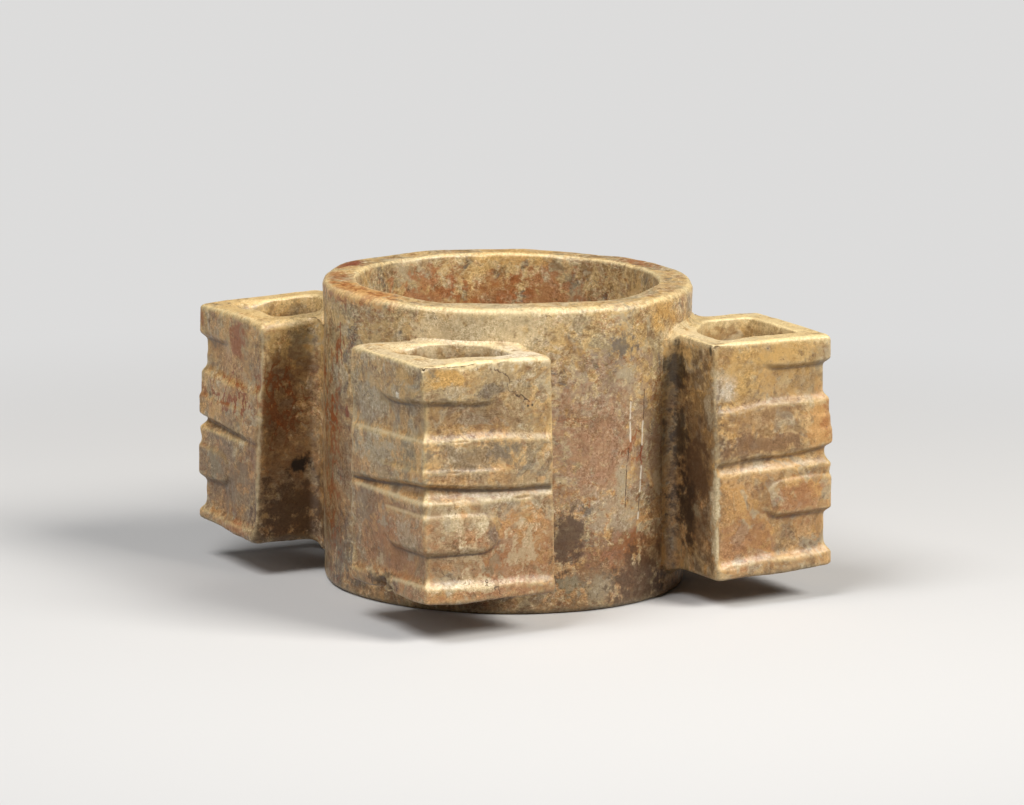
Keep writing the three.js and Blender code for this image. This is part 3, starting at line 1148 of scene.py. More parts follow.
    def outline(self, tube: np.ndarray, share: np.ndarray) -> Outline:
        """Give the whole outline: one half, the corner, the mirrored half and the seat on the tube.

        Args:
            tube: Radius of the tube at each level, mm.
            share: Share of the height at each level.

        Returns:
            The outline.
        """
        faces = [self.face + lean.at(share) for lean in self.face_leans]
        sides = [self.side + lean.at(share) for lean in self.side_leans]
        centre = self.centre()
        first = self.half_outline(tube, centre, (faces[0], sides[0], faces[1]))
        second = self.half_outline(tube, centre[::-1], (faces[1], sides[1], faces[0])).mirrored()
        bend = np.linspace(0, QUARTER, TIP_STATIONS)
        way = np.stack([np.cos(bend), np.sin(bend)], 1)
        middle = np.stack(faces, 1)[:, None] - self.edge
        still, close = np.zeros((TIP_STATIONS, 2)), np.zeros((len(tube), TIP_STATIONS))
        tip = Outline(middle + self.edge * way, still, still - 1, still, close)
        ends = [places - centre for places in (second.places[:, -1:], first.places[:, :1])]
        begin, finish = (np.arctan2(place[..., 1], place[..., 0]) for place in ends)
        spread = begin + (finish - begin) * np.linspace(0, 1, SEAT_STATIONS)
        deep = (tube - SEAT_DEPTH)[:, None, None]
        places = centre + deep * np.stack([np.cos(spread), np.sin(spread)], 2)
        none, far = np.zeros((SEAT_STATIONS, 2)), np.full((len(tube), SEAT_STATIONS), FAR_FROM_CORNER)
        return Outline.joined([first, tip, second, Outline(places, none, none, none, far)])

    def carve(self, shape: Outline, height: np.ndarray) -> np.ndarray:
        """Move an outline's stations inwards by the depth of the carving, evened out a little at the corner.

        Args:
            shape: The outline.
            height: Heights, levels by stations, mm.

        Returns:
            Carved places, levels by stations by 2, mm.
        """
        side = np.repeat([-1.0, 0.0, 1.0, 0.0], OUTLINE_RUNS)
        depth = self.depth(height, shape.along, side[None])
        corner = depth[:, HALF_STATIONS + TIP_STATIONS // 2]
        if len(corner) > 3:
            corner = np.convolve(np.pad(corner, 1, mode="edge"), np.array([1, 2, 1]) / 4, mode="valid")
        corner = corner[:, None]
        return shape.places + shape.cut * depth[..., None] + shape.slide * corner[..., None]

    def socket(self, widen: float) -> np.ndarray:
        """Give the socket's outline with one place for each station of the outer outline.

        It is a square with rounded corners, whose corner towards the axis is cut off by an arc round the tube.
        Where the arc starts and ends, the outline is rounded by averaging each place with its neighbours.

        Args:
            widen: How much wider than the socket it is, mm.

        Returns:
            Places in plan, stations by 2.
        """
        low, high = self.side + self.side_wall - widen, self.face - self.face_wall + widen
        turn = self.socket_round
        back = self.tube.rim + self.web - widen * 0.6
        foot = math.sqrt(back**2 - low**2)
        run = np.linspace(foot, high - turn, FOOT_STATIONS + FILLET_STATIONS + WALL_STATIONS + 1)[:-1]
        wall = np.stack([run, np.full_like(run, low)], 1)
        bend = np.linspace(-QUARTER, 0, EDGE_STATIONS)
        near = np.stack([high - turn + turn * np.cos(bend), low + turn + turn * np.sin(bend)], 1)
        climb = np.linspace(low + turn, high - turn, FACE_STATIONS + 2)[1:-1]
        flat = np.stack([np.full_like(climb, high), climb], 1)
        bend = np.linspace(0, QUARTER, TIP_STATIONS)
        tip = high - turn + turn * np.stack([np.cos(bend), np.sin(bend)], 1)
        angle = math.atan2(low, foot)
        spread = np.linspace(QUARTER - angle, angle, SEAT_STATIONS + 2)[1:-1]
        rear = back * np.stack([np.cos(spread), np.sin(spread)], 1)
        half = np.concatenate([wall, near, flat])
        hole = np.concatenate([half, tip, half[::-1, ::-1], rear])
        count = len(hole)
        gap = np.abs(np.arange(count)[:, None] - np.array([0, count - len(rear), count])).min(1)
        loose = 0.5 * ramp(gap, 12, 4)[:, None]
        for _ in range(SOCKET_EVENINGS):
            hole = hole + loose * (0.5 * (np.roll(hole, 1, 0) + np.roll(hole, -1, 0)) - hole)
        return hole

    def end_rings(self, upward: bool) -> tuple[np.ndarray, np.ndarray]:
        """Give the rings of one end, from the outer edge over the end face into the socket.

        Args:
            upward: The top, or else the underside.

        Returns:
            The rings, and the height at which the outer wall stops at each station.
        """
        sign = 1.0 if upward else -1.0
        about = np.array([self.top if upward else self.bottom])
        shape = self.outline(self.tube.radius(about), np.array([float(upward)]))
        plan = self.carve(shape, np.full(shape.along.shape, about[0]))[0]
        clear = np.linalg.norm(plan - self.centre(), axis=1) - self.tube.radius(about)
        wear = np.repeat([self.end_wear[0], 0.0, self.end_wear[1], 0.0], OUTLINE_RUNS)
        worn = self.end_edge * (1 + wear * ramp(shape.along[0], 21, 27))
        worn = np.minimum(worn, np.clip(0.12 + 0.5 * clear, 0.12, None))
        stop = self.level(plan, upward)
        rings = []
        angles = np.linspace(0, QUARTER, EDGE_RINGS + 1)
        for angle in angles[1:]:
            ring = plan + (shape.pull * worn[:, None] + shape.slide * self.end_edge) * (1 - math.cos(angle))
            lift = stop - sign * worn * (1 - math.sin(angle))
            rings.append(np.concatenate([ring, lift[:, None]], 1))
        edge = rings[-1][:, :2]
        hole = self.socket(0.0)
        outward = self.socket(1.0) - hole
        hollowed = ramp(np.linalg.norm(hole - np.array(self.scoop), axis=1), 9.0, 3.0) * float(upward)
        wide, deep = self.mouth + SCOOP_WIDTH * hollowed, self.mouth + SCOOP_DEPTH * hollowed
        rim = hole + outward * wide[:, None]
        for share in np.linspace(0, 1, END_RINGS + 2)[1:-1] ** 1.4:
            ring = edge + (rim - edge) * share
            rings.append(np.concatenate([ring, self.level(ring, upward)[:, None]], 1))
        for angle in angles:
            ring = hole + outward * (wide * (1 - math.sin(angle)))[:, None]
            lift = self.level(ring, upward) - sign * deep * (1 - math.cos(angle))
            rings.append(np.concatenate([ring, lift[:, None]], 1))
        return np.stack(rings), stop - sign * worn

    def surface(self) -> RingSurface:
        """Build the closed surface: up the carved outside, over the top, down the socket and back under.

        Returns:
            The surface, on its own corner.
        """
        top_rings, high = self.end_rings(True)
        under_rings, low = self.end_rings(False)
        share = np.linspace(0, 1, OUTSIDE_LEVELS)
        height = low + (high - low) * share[:, None]
        shape = self.outline(self.tube.radius(self.bottom + (self.top - self.bottom) * share), share)
        outside = np.concatenate([self.carve(shape, height), height[..., None]], 2)
        recess = np.linalg.norm(outside[..., :2] - shape.places, axis=2)
        down = np.linspace(0, 1, SOCKET_LEVELS + 2)[1:-1, None, None]
        inside = top_rings[-1] + (under_rings[-1] - top_rings[-1]) * down
        points = np.concatenate([outside, top_rings, inside, under_rings[::-1]])
        turn = self.corner.value * QUARTER
        cosine, sine = math.cos(turn), math.sin(turn)
        spun = np.array([[cosine, sine, 0], [-sine, cosine, 0], [0, 0, 1]])
        level = np.zeros((len(points) - len(recess), recess.shape[1]))
        return RingSurface(points @ spun, np.concatenate([recess, level]))

    def build(self) -> bpy.types.Object:
        """Carve the prism, work it by hand and dress it.

        Returns:
            The finished piece.
        """
        surface = self.surface()
        surface.work_by_hand(self.chips)
        return dressed(surface, f"corner_prism_{self.corner.name.lower()}", self.finish)


def posed(right: np.ndarray, up: np.ndarray, ahead: np.ndarray, place: np.ndarray) -> Matrix:
    """Give the matrix of a camera or a lamp that stands at a place and looks ahead."""
    axes = (right, up, -ahead, place)
    return Matrix([[float(axis[row]) for axis in axes] for row in range(3)] + [[0, 0, 0, 1]])


@dataclass
class Studio:
    """The pale floor, the soft lights and the camera.

    Attributes:
        bearing: Way from the camera to the axis, degrees from +Y towards +X.
        distance: From the camera to the axis, level, m.
        eye: Height of the camera, m.
        pitch: How far it looks down, degrees.
        roll: How far it is rolled to its left, degrees.
        lens: Focal length on a 36 mm wide picture, mm.
    """

    bearing: float = 30.61
    distance: float = 0.9
    eye: float = 0.1981
    pitch: float = 10.25
    roll: float = 0.67
    lens: float = 160.8

    def camera(self) -> None:
        """Set up the camera at the photograph's viewing angle."""
        bearing, pitch, roll = (math.radians(value) for value in (self.bearing, self.pitch, self.roll))
        level = np.array([math.sin(bearing), math.cos(bearing), 0])
        right = np.array([math.cos(bearing), -math.sin(bearing), 0])
        ahead = level * math.cos(pitch) - np.array([0, 0, math.sin(pitch)])
        up = np.cross(right, ahead)
        data = bpy.data.cameras.new("camera")
        data.lens = self.lens
        data.sensor_width = 36
        camera = bpy.data.objects.new("camera", data)
        camera.matrix_world = posed(
            math.cos(roll) * right + math.sin(roll) * up,
            math.cos(roll) * up - math.sin(roll) * right,
            ahead,
            np.array([0, 0, self.eye]) - self.distance * level,
        )
        bpy.context.scene.collection.objects.link(camera)
        bpy.context.scene.camera = camera

    def lamp(self, name: str, place: Point, size: float, power: float, tint: Point = (1, 1, 1)) -> None:
        """Add a soft square lamp that faces the middle of the cong.

        Args:
            name: Its name.
            place: Where it stands, m.
            size: Its width, m.
            power: Its power, W.
            tint: Its colour.
        """
        data = bpy.data.lights.new(name, "AREA")
        data.size = size
        data.energy = power
        data.color = tint
        lamp = bpy.data.objects.new(name, data)
        aim = np.array([0, 0, 0.03]) - np.array(place)
        ahead = aim / np.linalg.norm(aim)
        right = np.cross(ahead, [0, 0, 1])
        right = right / np.linalg.norm(right)
        lamp.matrix_world = posed(right, np.cross(right, ahead), ahead, np.array(place))
        bpy.context.scene.collection.objects.link(lamp)

    def light(self) -> None:
        """Set up the lamps and the even light of the room."""
        self.lamp("key", (0.4, -0.72, 0.8), 0.5, 14.2, (1.0, 0.97, 0.92))
        self.lamp("fill", (-1.0, -0.05, 0.45), 0.6, 1.5)
        self.lamp("top", (-0.5, -0.15, 0.93), 0.5, 7.9)
        world = bpy.data.worlds.new("room")
        world.use_nodes = True
        world.node_tree.nodes["Background"].inputs[0].default_value = (0.8, 0.8, 0.8, 1)
        world.node_tree.nodes["Background"].inputs[1].default_value = 0.06
        bpy.context.scene.world = world

    def floor(self) -> None:
        """Lay the plain pale floor. To the camera it turns into an even pale ground away from the cong."""
        half = 4.0
        mesh = bpy.data.meshes.new("floor")
        corners = [(-half, -half, 0), (half, -half, 0), (half, half, 0), (-half, half, 0)]
        mesh.from_pydata(corners, [], [(0, 1, 2, 3)])
        material = bpy.data.materials.new("pale floor")
        material.use_nodes = True
        graph = Graph(material.node_tree)
        rays = graph.add("ShaderNodeLightPath")
        seen = graph.sum("MAXIMUM", rays.outputs["Is Camera Ray"], rays.outputs["Is Glossy Ray"])
        seen = graph.sum("MAXIMUM", seen, rays.outputs["Is Transmission Ray"])
        shader = material.node_tree.nodes["Principled BSDF"]
        bounced, shown = (0.2, 0.195, 0.19, 1), (0.62, 0.615, 0.61, 1)
        graph.tree.links.new(graph.layer(bounced, shown, seen), shader.inputs["Base Color"])
        shader.inputs["Roughness"].default_value = 0.8
        away = graph.vector("LENGTH", graph.add("ShaderNodeTexCoord").outputs["Object"], output=1)
        ground = graph.add("ShaderNodeEmission", {0: (0.72, 0.715, 0.71, 1), 1: 1.0})
        far = graph.sum("MULTIPLY", graph.between(away, 0.1, 0.32), seen)
        mixed = graph.add("ShaderNodeMixShader", {0: far, 1: shader.outputs[0], 2: ground.outputs[0]})
        graph.tree.links.new(mixed.outputs[0], material.node_tree.nodes["Material Output"].inputs[0])
        mesh.materials.append(material)
        floor = bpy.data.objects.new("floor", mesh)
        bpy.context.scene.collection.objects.link(floor)

    def build(self) -> None:
        """Set up the whole studio."""
        bpy.context.scene.view_settings.view_transform = "Standard"
        self.camera()
        self.light()
        self.floor()


def tube_finish() -> JadeFinish:
    """Give the stone of the tube, with the stains and marks that can be told apart on it.

    Returns:
        The finish.
    """
    stains = (
        Stain((-36.0, 1.0, 60.5), (8.0, 22.0, 3.0), Tint.AMBER, 0.9, 0.8),
        Stain((-36.0, 3.0, 60.5), (6.0, 22.0, 3.0), Tint.RUST, 0.8, 0.9, True),
        Stain((-8.0, 32.0, 50.0), (18.0, 6.0, 10.0), Tint.ROSE, 0.8),
        Stain((22.0, 23.0, 50.0), (12.0, 12.0, 10.0), Tint.ROSE, 0.8),
        Stain((-20.0, 26.0, 48.0), (7.0, 6.0, 8.0), Tint.GREY, 0.6),
        Stain((17.9, 27.8, 60.5), (16.0, 9.0, 2.5), Tint.OCHRE, 0.5),
        Stain((-22.2, 29.0, 60.5), (6.0, 6.0, 3.0), Tint.OXBLOOD, 0.85, 0.7),
        Stain((-29.4, 20.6, 60.3), (4.5, 6.0, 3.0), Tint.RUST, 0.6),
        Stain((33.6, 6.2, 60.5), (5.0, 10.0, 3.0), Tint.RUST, 0.65),
        Stain((12.0, 27.5, 52.0), (13.0, 6.0, 6.0), Tint.RUST, 0.55),
        Stain((-22.0, -28.0, 57.0), (22.0, 18.0, 8.0), Tint.BONE, 0.5),
        Stain((-25.0, -26.5, 54.6), (18.0, 17.0, 4.6), Tint.BONE, 0.65, 0.8),
        Stain((19.0, -31.5, 52.0), (7.0, 7.0, 3.6), Tint.BONE, 0.6, 0.9),
        Stain((14.5, -32.5, 57.7), (6.0, 5.0, 3.6), Tint.OCHRE, 0.6, 0.7),
        # Painted shade: the foot of the tube is darkened towards the floor
        Stain((-1.0, 0.6, 0.0), (60.0, 60.0, 10.0), Tint.UMBER, 0.6, 0.6),
        Stain((-36.0, 5.0, 24.0), (6.0, 14.0, 30.0), Tint.BROWN, 0.5, 0.6),
        # Brown stain and painted shade low on the front of the tube
        Stain((1.8, -35.8, 9.0), (14.0, 6.0, 9.0), Tint.BROWN, 0.7),
        Stain((1.0, -35.9, 33.0), (18.0, 6.0, 22.0), Tint.MAUVE, 0.6, 1.2),
        Stain((-1.3, -35.9, 31.9), (9.0, 6.0, 11.0), Tint.ROSE, 0.4, 1.3),
        Stain((2.0, -35.9, 19.5), (9.0, 5.0, 5.0), Tint.ASH, 0.45, 1.4),
        Stain((7.0, -35.2, 11.0), (11.0, 5.0, 4.0), Tint.RUST, 0.45, 1.2),
        Stain((13.6, -32.8, 9.0), (6.0, 6.0, 8.0), Tint.BROWN, 0.6),
        Stain((3.9, -35.6, 52.1), (3.8, 3.0, 3.0), Tint.SLATE, 0.75, 1.0),
        Stain((5.1, -35.4, 46.9), (3.0, 3.0, 2.4), Tint.ASH, 0.7, 0.7),
        Stain((4.2, -35.5, 25.6), (2.6, 3.0, 5.6), Tint.ASH, 0.75, 0.6),
        Stain((14.5, -32.4, 23.4), (2.6, 3.0, 3.2), Tint.BONE, 0.6),
        Stain((-8.6, -35.2, 14.0), (4.4, 4.0, 8.5), Tint.UMBER, 0.85, 0.8),
        Stain((7.4, -35.0, 32.0), (3.0, 3.0, 3.4), Tint.RUST, 0.7, 0.8, True),
        Stain((-3.0, -35.8, 38.0), (9.0, 4.0, 7.0), Tint.BROWN, 0.45, 0.8, True),
        Stain((14.5, -32.5, 26.0), (4.0, 4.0, 20.0), Tint.BROWN, 0.5, 0.8),
        Stain((-3.8, -35.8, 19.9), (1.8, 3.0, 1.8), Tint.SLATE, 0.7, 0.8),
        Stain((-7.6, -35.3, 5.3), (3.4, 3.0, 2.8), Tint.GREY, 0.85, 0.8),
        Stain((-4.0, -35.9, 4.6), (8.0, 4.0, 3.0), Tint.GREY, 0.55, 1.4),
        Stain((-0.2, -35.9, 4.3), (3.6, 3.0, 2.8), Tint.ASH, 0.5, 0.7),
        # Painted shade: the right of the tube's foot is darkened where it turns away from the light
        Stain((10.0, -34.6, 4.0), (11.0, 6.0, 8.0), Tint.UMBER, 0.8, 0.9),
        Stain((-37.4, 2.7, 8.0), (4.0, 8.0, 9.0), Tint.SLATE, 0.5),
        Stain((-36.9, 7.0, 26.0), (4.0, 5.0, 24.0), Tint.RUST, 0.7, 1.0, True),
        Stain((-37.5, 2.3, 49.5), (4.0, 1.8, 5.0), Tint.RUST, 0.95, 0.8, True),
        Stain((-35.5, 12.5, 40.2), (4.0, 3.0, 7.0), Tint.RUST, 0.95, 0.8, True),
        Stain((-37.1, 6.2, 34.7), (4.0, 2.6, 4.0), Tint.RUST, 0.95, 0.8, True),
        Stain((-37.5, -0.3, 37.0), (2.5, 0.9, 2.2), Tint.OXBLOOD, 0.8, 0.5),
        Stain((-37.3, 4.1, 44.0), (2.5, 1.6, 3.6), Tint.ASH, 0.8, 0.8),
    )
    white = {"tint": Tint.CHALK, "width": 0.34, "wander": 0.14, "strength": 0.95, "deep": 0.6}
    dark = {"tint": Tint.UMBER, "width": 0.22, "wander": 0.12, "strength": 0.95}
    marks = (
        Hairline((5.7, -35.3, 40.7), (5.8, -35.3, 37.4), **white),
        Hairline((5.8, -35.3, 36.7), (5.9, -35.2, 33.0), **white),
        Hairline((5.6, -35.3, 31.6), (5.4, -35.3, 28.9), **dark),
        Hairline((5.2, -35.4, 28.1), (5.1, -35.4, 20.2), **dark),
        Hairline((9.2, -34.5, 42.8), (9.3, -34.4, 37.0), **dark),
        Hairline((9.2, -34.5, 36.5), (9.1, -34.5, 34.4), **white),
        Hairline((9.1, -34.5, 34.0), (9.1, -34.5, 31.9), **white),
        Hairline((9.0, -34.5, 31.3), (9.0, -34.5, 28.4), Tint.OXBLOOD, 0.5, 0.4),
        Hairline((9.0, -34.5, 27.6), (8.9, -34.5, 25.2), **white),
        Hairline((8.9, -34.5, 24.6), (8.8, -34.6, 22.6), **white),
        Hairline((8.8, -34.6, 22.1), (8.7, -34.6, 18.9), **dark),
        Hairline((8.7, -34.6, 18.4), (8.6, -34.6, 17.2), **white),
        Hairline((-10.6, -34.6, 38.6), (-3.2, -35.8, 37.4), Tint.RUST, 0.3, 1.0, 0.5),
        Hairline((-31.0, -20.9, 60.3), (-30.0, -21.8, 57.8)),
        Hairline((-13.4, -34.0, 60.4), (-12.2, -34.3, 58.4)),
    )
    return JadeFinish(
        ochre=0.1, grey=0.75, rose=0.4, brown=0.55, rust=0.1, fibre=0.9, stains=stains, hairlines=marks
    )


def front_finish() -> JadeFinish:
    """Give the stone of the front prism, grey on its left face and redder low down.

    Returns:
        The finish.
    """
    stains = (
        Stain((-33.0, -33.0, 54.0), (30.0, 30.0, 3.0), Tint.BONE, 0.78, 0.7),
        Stain((-25.0, -40.0, 54.0), (9.0, 9.0, 3.0), Tint.CHALK, 0.5, 0.8),
        Stain((-28.4, -46.5, 14.0), (14.0, 4.0, 10.0), Tint.ROSE, 0.6),
        Stain((-46.5, -33.9, 16.2), (4.0, 16.0, 11.0), Tint.ROSE, 0.6),
        Stain((-46.5, -23.7, 43.5), (4.0, 5.0, 8.0), Tint.ASH, 0.6),
        Stain((-46.5, -29.7, 35.0), (4.0, 9.0, 4.0), Tint.ASH, 0.65),
        Stain((-46.5, -40.0, 36.0), (4.0, 4.0, 4.0), Tint.GREY, 0.6),
        Stain((-46.5, -38.0, 49.6), (4.0, 5.0, 3.0), Tint.OCHRE, 0.5),
        Stain((-41.0, -46.5, 50.6), (6.0, 4.0, 2.6), Tint.OCHRE, 0.8, 0.7),
        Stain((-39.0, -46.5, 47.6), (4.0, 4.0, 1.8), Tint.ASH, 0.6),
        Stain((-32.3, -46.5, 47.5), (4.2, 3.0, 2.4), Tint.SLATE, 0.6, 0.7),
        Stain((-33.4, -46.5, 35.4), (13.0, 4.0, 4.0), Tint.GREY, 0.7),
        Stain((-36.0, -46.5, 34.6), (12.0, 4.0, 4.6), Tint.BROWN, 0.3, 1.2),
        Stain((-33.0, -46.5, 42.6), (14.0, 4.0, 3.6), Tint.BROWN, 0.3, 1.0),
        Stain((-29.6, -46.5, 36.0), (4.0, 3.0, 2.2), Tint.SLATE, 0.5),
        Stain((-34.0, -46.5, 22.0), (1.7, 3.0, 2.2), Tint.BONE, 0.8, 0.6),
        Stain((-31.6, -46.5, 20.1), (2.1, 3.0, 2.6), Tint.SLATE, 0.6, 0.6),
        Stain((-24.4, -46.5, 17.5), (5.0, 3.0, 6.0), Tint.BONE, 0.6, 1.5),
        Stain((-36.5, -46.5, 15.6), (4.0, 3.0, 3.6), Tint.BONE, 0.6, 1.6),
        Stain((-31.0, -46.5, 14.4), (3.0, 3.0, 2.2), Tint.GREY, 0.6, 1.2),
        Stain((-28.0, -46.5, 26.0), (5.0, 3.0, 3.0), Tint.ASH, 0.5, 1.6),
        Stain((-46.5, -22.6, 22.0), (4.0, 2.6, 4.0), Tint.ASH, 0.7, 1.4),
        Stain((-46.5, -31.0, 21.0), (4.0, 2.4, 2.4), Tint.ASH, 0.7, 1.4),
        Stain((-46.5, -27.6, 14.0), (4.0, 1.6, 3.4), Tint.BONE, 0.6, 1.2),
        Stain((-40.0, -46.5, 23.5), (5.0, 3.0, 4.0), Tint.BONE, 0.55, 1.5),
        Stain((-46.5, -24.0, 24.0), (4.0, 6.0, 6.0), Tint.BROWN, 0.5, 1.2),
        Stain((-46.5, -40.0, 20.0), (4.0, 5.0, 5.0), Tint.ASH, 0.6, 1.5),
        Stain((-36.2, -46.5, 11.2), (10.0, 3.0, 1.8), Tint.BONE, 0.6, 0.8),
        Stain((-46.5, -29.3, 9.0), (4.0, 6.5, 2.6), Tint.UMBER, 0.9, 1.0),
        Stain((-46.5, -36.4, 46.3), (2.0, 0.9, 0.9), Tint.CHALK, 0.9, 0.4),
        Stain((-39.0, -46.2, 53.3), (9.0, 1.8, 1.0), Tint.CREAM, 0.8, 0.6),
    )
    dots = ((-23.8, 44.1), (-22.7, 44.2), (-24.5, 45.4))
    stains += tuple(Stain((x, -46.5, z), (0.45, 1.5, 0.4), Tint.SOOT, 0.9, 0.2) for x, z in dots)
    crack = {"width": 0.26, "strength": 1.0}
    scuff = {"tint": Tint.BONE, "width": 0.6, "wander": 0.12, "strength": 0.6, "deep": 0.0}
    marks = (
        Hairline((-31.4, -46.5, 51.6), (-29.3, -46.5, 50.8), **crack),
        Hairline((-29.3, -46.5, 50.8), (-27.6, -46.5, 49.0), **crack),
        Hairline((-28.0, -46.5, 48.4), (-26.1, -46.5, 46.3), **crack),
        Hairline((-26.1, -46.5, 46.3), (-23.6, -46.5, 45.1), **crack),
        Hairline((-44.5, -46.5, 14.4), (-39.5, -46.5, 12.2), strength=0.5),
        Hairline((-33.0, -46.5, 11.0), (-28.1, -46.5, 7.5), **crack),
        Hairline((-46.5, -22.5, 44.1), (-46.5, -24.5, 45.0), width=0.22),
        Hairline((-46.5, -24.5, 45.0), (-46.5, -26.0, 45.0), width=0.22),
        Hairline((-46.0, -46.2, 53.0), (-36.0, -46.4, 52.9), Tint.EARTH, 0.2, 0.5),
        Hairline((-46.4, -46.0, 39.1), (-46.0, -20.0, 38.0), **scuff),
        Hairline((-46.2, -46.0, 27.2), (-46.0, -20.0, 26.7), **scuff),
        Hairline((-46.2, -46.0, 24.8), (-46.2, -32.0, 24.4), **scuff),
        Hairline((-46.0, -46.0, 11.4), (-46.0, -34.0, 10.7), **scuff),
    )
    return JadeFinish(ochre=0.4, grey=0.55, rose=0.6, brown=0.45, rust=0.35, stains=stains, hairlines=marks)


def right_finish() -> JadeFinish:
    """Give the stone of the right prism, ochre with a dull band, rust at the corner and a return wall darkened
    by soot stains and painted shade.

    Returns:
        The finish.
    """
    stains = (
        Stain((33.0, -33.0, 53.3), (30.0, 30.0, 3.0), Tint.CREAM, 0.5, 0.7),
        Stain((22.0, -37.0, 53.3), (12.0, 14.0, 3.0), Tint.BONE, 0.6, 0.8),
        Stain((20.8, -46.5, 43.5), (4.2, 3.0, 4.0), Tint.CHALK, 0.6, 0.4),
        Stain((30.0, -46.5, 48.0), (15.0, 4.0, 7.0), Tint.OCHRE, 0.45, 1.0),
        Stain((28.0, -46.5, 38.0), (16.0, 4.0, 4.0), Tint.BROWN, 0.45, 0.9),
        Stain((29.5, -46.5, 32.0), (15.0, 4.0, 3.2), Tint.BROWN, 0.8, 0.7),
        Stain((43.6, -46.5, 35.0), (4.4, 4.0, 8.0), Tint.AMBER, 0.7, 0.8),
        Stain((45.4, -46.5, 36.0), (2.4, 4.0, 6.0), Tint.RUST, 0.6, 0.7),
        Stain((38.4, -46.5, 20.3), (7.0, 4.0, 5.0), Tint.ROSE, 0.6),
        Stain((25.7, -46.5, 13.5), (9.0, 4.0, 6.0), Tint.ROSE, 0.5),
        # Dark stains on the return wall and at its joint with the tube, made darker to paint the crevice's
        # shade: stain and painted shade
        Stain((18.3, -40.0, 26.0), (3.0, 13.0, 34.0), Tint.UMBER, 0.7, 0.6),
        Stain((18.3, -39.0, 26.0), (3.0, 6.0, 11.0), Tint.UMBER, 0.85, 0.9),
        Stain((17.8, -33.6, 46.0), (4.0, 3.0, 6.0), Tint.SOOT, 0.75, 0.5),
        Stain((17.8, -33.6, 33.0), (4.0, 3.4, 7.0), Tint.SOOT, 0.6, 0.7),
        Stain((17.8, -35.6, 18.0), (4.0, 4.4, 10.0), Tint.SOOT, 0.7, 0.8),
        Stain((18.3, -40.0, 19.0), (3.0, 2.0, 3.0), Tint.GREY, 0.7, 0.9),
        Stain((18.3, -44.2, 39.5), (3.0, 1.8, 5.0), Tint.ASH, 0.6, 0.9),
        Stain((18.3, -45.2, 17.5), (3.0, 2.0, 9.5), Tint.ASH, 0.75, 0.7),
        Stain((18.3, -46.5, 20.0), (2.3, 2.6, 18.0), Tint.ASH, 0.9, 0.5),
        Stain((18.3, -46.5, 15.0), (2.4, 2.4, 14.0), Tint.BONE, 0.7, 0.6),
        Stain((17.8, -44.4, 51.3), (2.0, 0.8, 1.2), Tint.SOOT, 0.95, 0.3),
    )
    return JadeFinish(
        ochre=0.6, grey=0.4, rose=0.35, brown=0.4, rust=0.25, fibre=0.25, grain=0.7, painted_shade=0.7, stains=stains
    )


def left_finish() -> JadeFinish:
    """Give the stone of the left prism, with rust across both faces and one dark spot.

    Returns:
        The finish.
    """
    stains = (
        Stain((-33.0, 33.0, 53.2), (30.0, 30.0, 3.4), Tint.OCHRE, 0.6, 0.7),
        Stain((-33.0, 33.0, 53.2), (30.0, 30.0, 3.4), Tint.CREAM, 0.35, 0.7),
        Stain((-46.5, 32.0, 42.0), (4.0, 15.0, 12.0), Tint.AMBER, 0.45, 1.2),
        Stain((-46.5, 33.5, 20.0), (4.0, 9.0, 9.0), Tint.GREY, 0.6, 1.2),
        Stain((-46.5, 26.0, 14.5), (4.0, 6.0, 5.0), Tint.BONE, 0.35, 1.2),
        Stain((-46.5, 29.2, 47.6), (3.0, 4.4, 6.8), Tint.RUST, 0.85, 0.7),
        Stain((-46.5, 31.5, 36.2), (3.0, 6.0, 3.0), Tint.OXBLOOD, 0.6, 0.9, True),
        Stain((-46.5, 31.8, 35.3), (4.0, 9.0, 4.4), Tint.RUST, 0.9, 0.9, True),
        Stain((-42.0, 20.0, 33.0), (6.0, 4.0, 9.0), Tint.BROWN, 0.6, 1.0),
        Stain((-42.7, 20.0, 35.5), (6.0, 4.0, 8.0), Tint.RUST, 0.9, 0.9, True),
        Stain((-37.8, 20.0, 46.9), (3.5, 3.0, 5.0), Tint.GREY, 0.65, 0.8),
        Stain((-40.6, 20.0, 14.0), (15.0, 6.0, 36.0), Tint.BROWN, 0.5, 1.2),
        Stain((-46.5, 33.0, 17.0), (4.0, 14.0, 13.0), Tint.BROWN, 0.5, 1.0),
        # Dark stone and painted shade low on the return wall
        Stain((-40.6, 20.0, 11.0), (11.0, 5.0, 11.0), Tint.UMBER, 0.75, 1.0),
        Stain((-37.1, 20.0, 22.6), (3.2, 4.0, 2.9), Tint.SOOT, 1.0, 0.5),
        Stain((-46.5, 45.2, 48.8), (2.0, 2.0, 4.0), Tint.RUST, 0.7, 0.7),
        Stain((-46.5, 45.4, 34.4), (2.0, 2.0, 4.0), Tint.RUST, 0.7, 0.7),
        Stain((-46.5, 38.9, 20.6), (3.0, 4.0, 4.0), Tint.GREY, 0.6),
        Stain((-46.5, 30.5, 8.5), (3.0, 9.0, 1.8), Tint.ROSE, 0.8, 0.7),
    )
    scuff = {"tint": Tint.BONE, "width": 0.55, "wander": 0.3, "strength": 0.5, "deep": 0.0}
    marks = (
        Hairline((-46.2, 19.3, 50.0), (-46.2, 20.2, 36.0), **scuff),
        Hairline((-46.2, 20.3, 34.5), (-46.2, 21.4, 14.0), **scuff),
    )
    return JadeFinish(
        ochre=0.5, grey=0.45, rose=0.5, brown=0.5, rust=0.6, painted_shade=0.7, stains=stains, hairlines=marks
    )


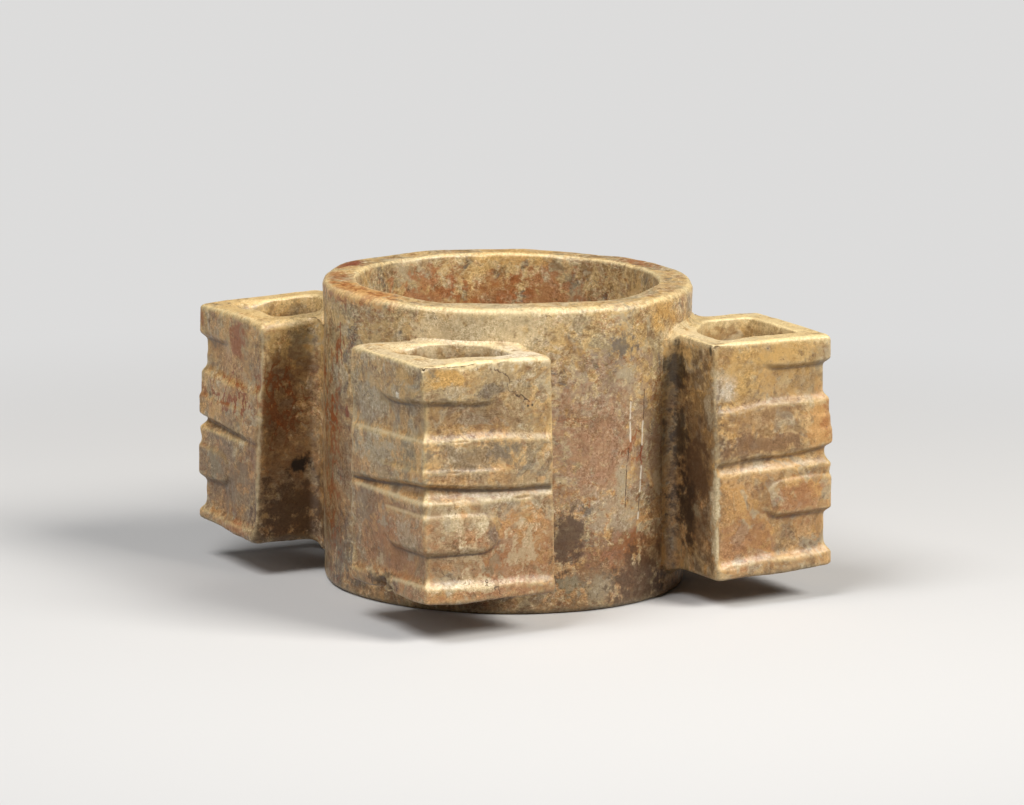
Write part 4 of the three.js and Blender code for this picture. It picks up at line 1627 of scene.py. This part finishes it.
def back_finish() -> JadeFinish:
    """Give the stone of the hidden prism, guessed as more of the same.

    Returns:
        The finish.
    """
    stains = (
        Stain((33.0, 33.0, 53.5), (30.0, 30.0, 3.0), Tint.BONE, 0.6, 0.8),
        Stain((46.5, 32.0, 40.0), (4.0, 8.0, 6.0), Tint.GREY, 0.55),
        Stain((31.0, 46.5, 22.0), (9.0, 4.0, 6.0), Tint.ROSE, 0.6),
        Stain((42.0, 46.5, 49.0), (6.0, 4.0, 3.0), Tint.OCHRE, 0.6),
        Stain((46.5, 25.0, 14.0), (4.0, 5.0, 7.0), Tint.RUST, 0.4, 1.3),
    )
    return JadeFinish(ochre=0.5, grey=0.5, rose=0.5, brown=0.4, rust=0.5, stains=stains)


def corner_prisms(tube: Tube) -> tuple[CornerPrism, ...]:
    """Give the four prisms, each with the sizes, leans and marks of its own.

    Args:
        tube: The tube that they stand on.

    Returns:
        The prisms: front, right, left and back.
    """
    front = CornerPrism(
        Corner.FRONT, tube, top=53.3, bottom=7.9, bar=45.9, crest=38.9, ledges=(33.3,), groove=30.6,
        lip=11.2, face_leans=(Lean(0.35, -0.35), Lean(-0.45, 0.58)),
        side_leans=(Lean(-1.1, -1.74), Lean(-0.75, -1.62)), end_edge=0.6, side_edge=1.0, top_fillet=0.8,
        web=0.9, scoop=(41.0, 27.0), finish=front_finish(),
        chips=(
            Chip((-46.5, -29.3, 7.6), 4.2, 0.9), Chip((-46.6, -46.4, 53.2), 1.4, 0.5),
            Chip((-38.0, -46.3, 53.2), 2.0, 0.25), Chip((-30.0, -46.3, 53.2), 1.6, 0.2),
        ),
    )
    right = CornerPrism(
        Corner.RIGHT, tube, top=52.6, bottom=6.4, bar=47.5, crest=40.1, ledges=(36.8, 33.9), groove=30.8,
        lip=9.6, trench=1.05, face_leans=(Lean(-0.5, 0.2), Lean(-0.85, 0.1)),
        side_leans=(Lean(-1.2, 0.46), Lean()), tilt=(0.025, 0.0), edge=1.1, end_edge=0.8,
        end_wear=(-0.4, 0.0), side_edge=1.0, socket_round=2.0, mouth=0.5, scoop=(38.0, 22.0),
        finish=right_finish(), chips=(Chip((17.6, -46.0, 52.4), 1.2, 0.4),),
    )
    left = CornerPrism(
        Corner.LEFT, tube, top=52.1, bottom=8.0, bar=46.0, crest=38.4, groove=29.4, nose=(23.3, 17.1),
        lip=10.0, reaches=(11.5, 12.5), face_leans=(Lean(0.0, -0.85), Lean(0.0, 0.5)),
        side_leans=(Lean(), Lean(-0.27, 2.5)), tilt=(0.0, 0.045), under_tilt=(0.05, 0.02), end_edge=0.9,
        scoop=(41.0, 41.0), finish=left_finish(),
    )
    return front, right, left, CornerPrism(Corner.BACK, tube, finish=back_finish())


def main() -> None:
    """Build the cong and the studio."""
    logging.basicConfig(level=logging.INFO, format="%(name)s: %(message)s")
    for group in (body_group, grain_group, stain_group, hairline_group):
        log.info("group %s", group().name)
    Studio().build()
    tube = Tube(finish=tube_finish())
    for piece in (tube, *corner_prisms(tube)):
        piece.build()


if __name__ == "__main__":
    main()
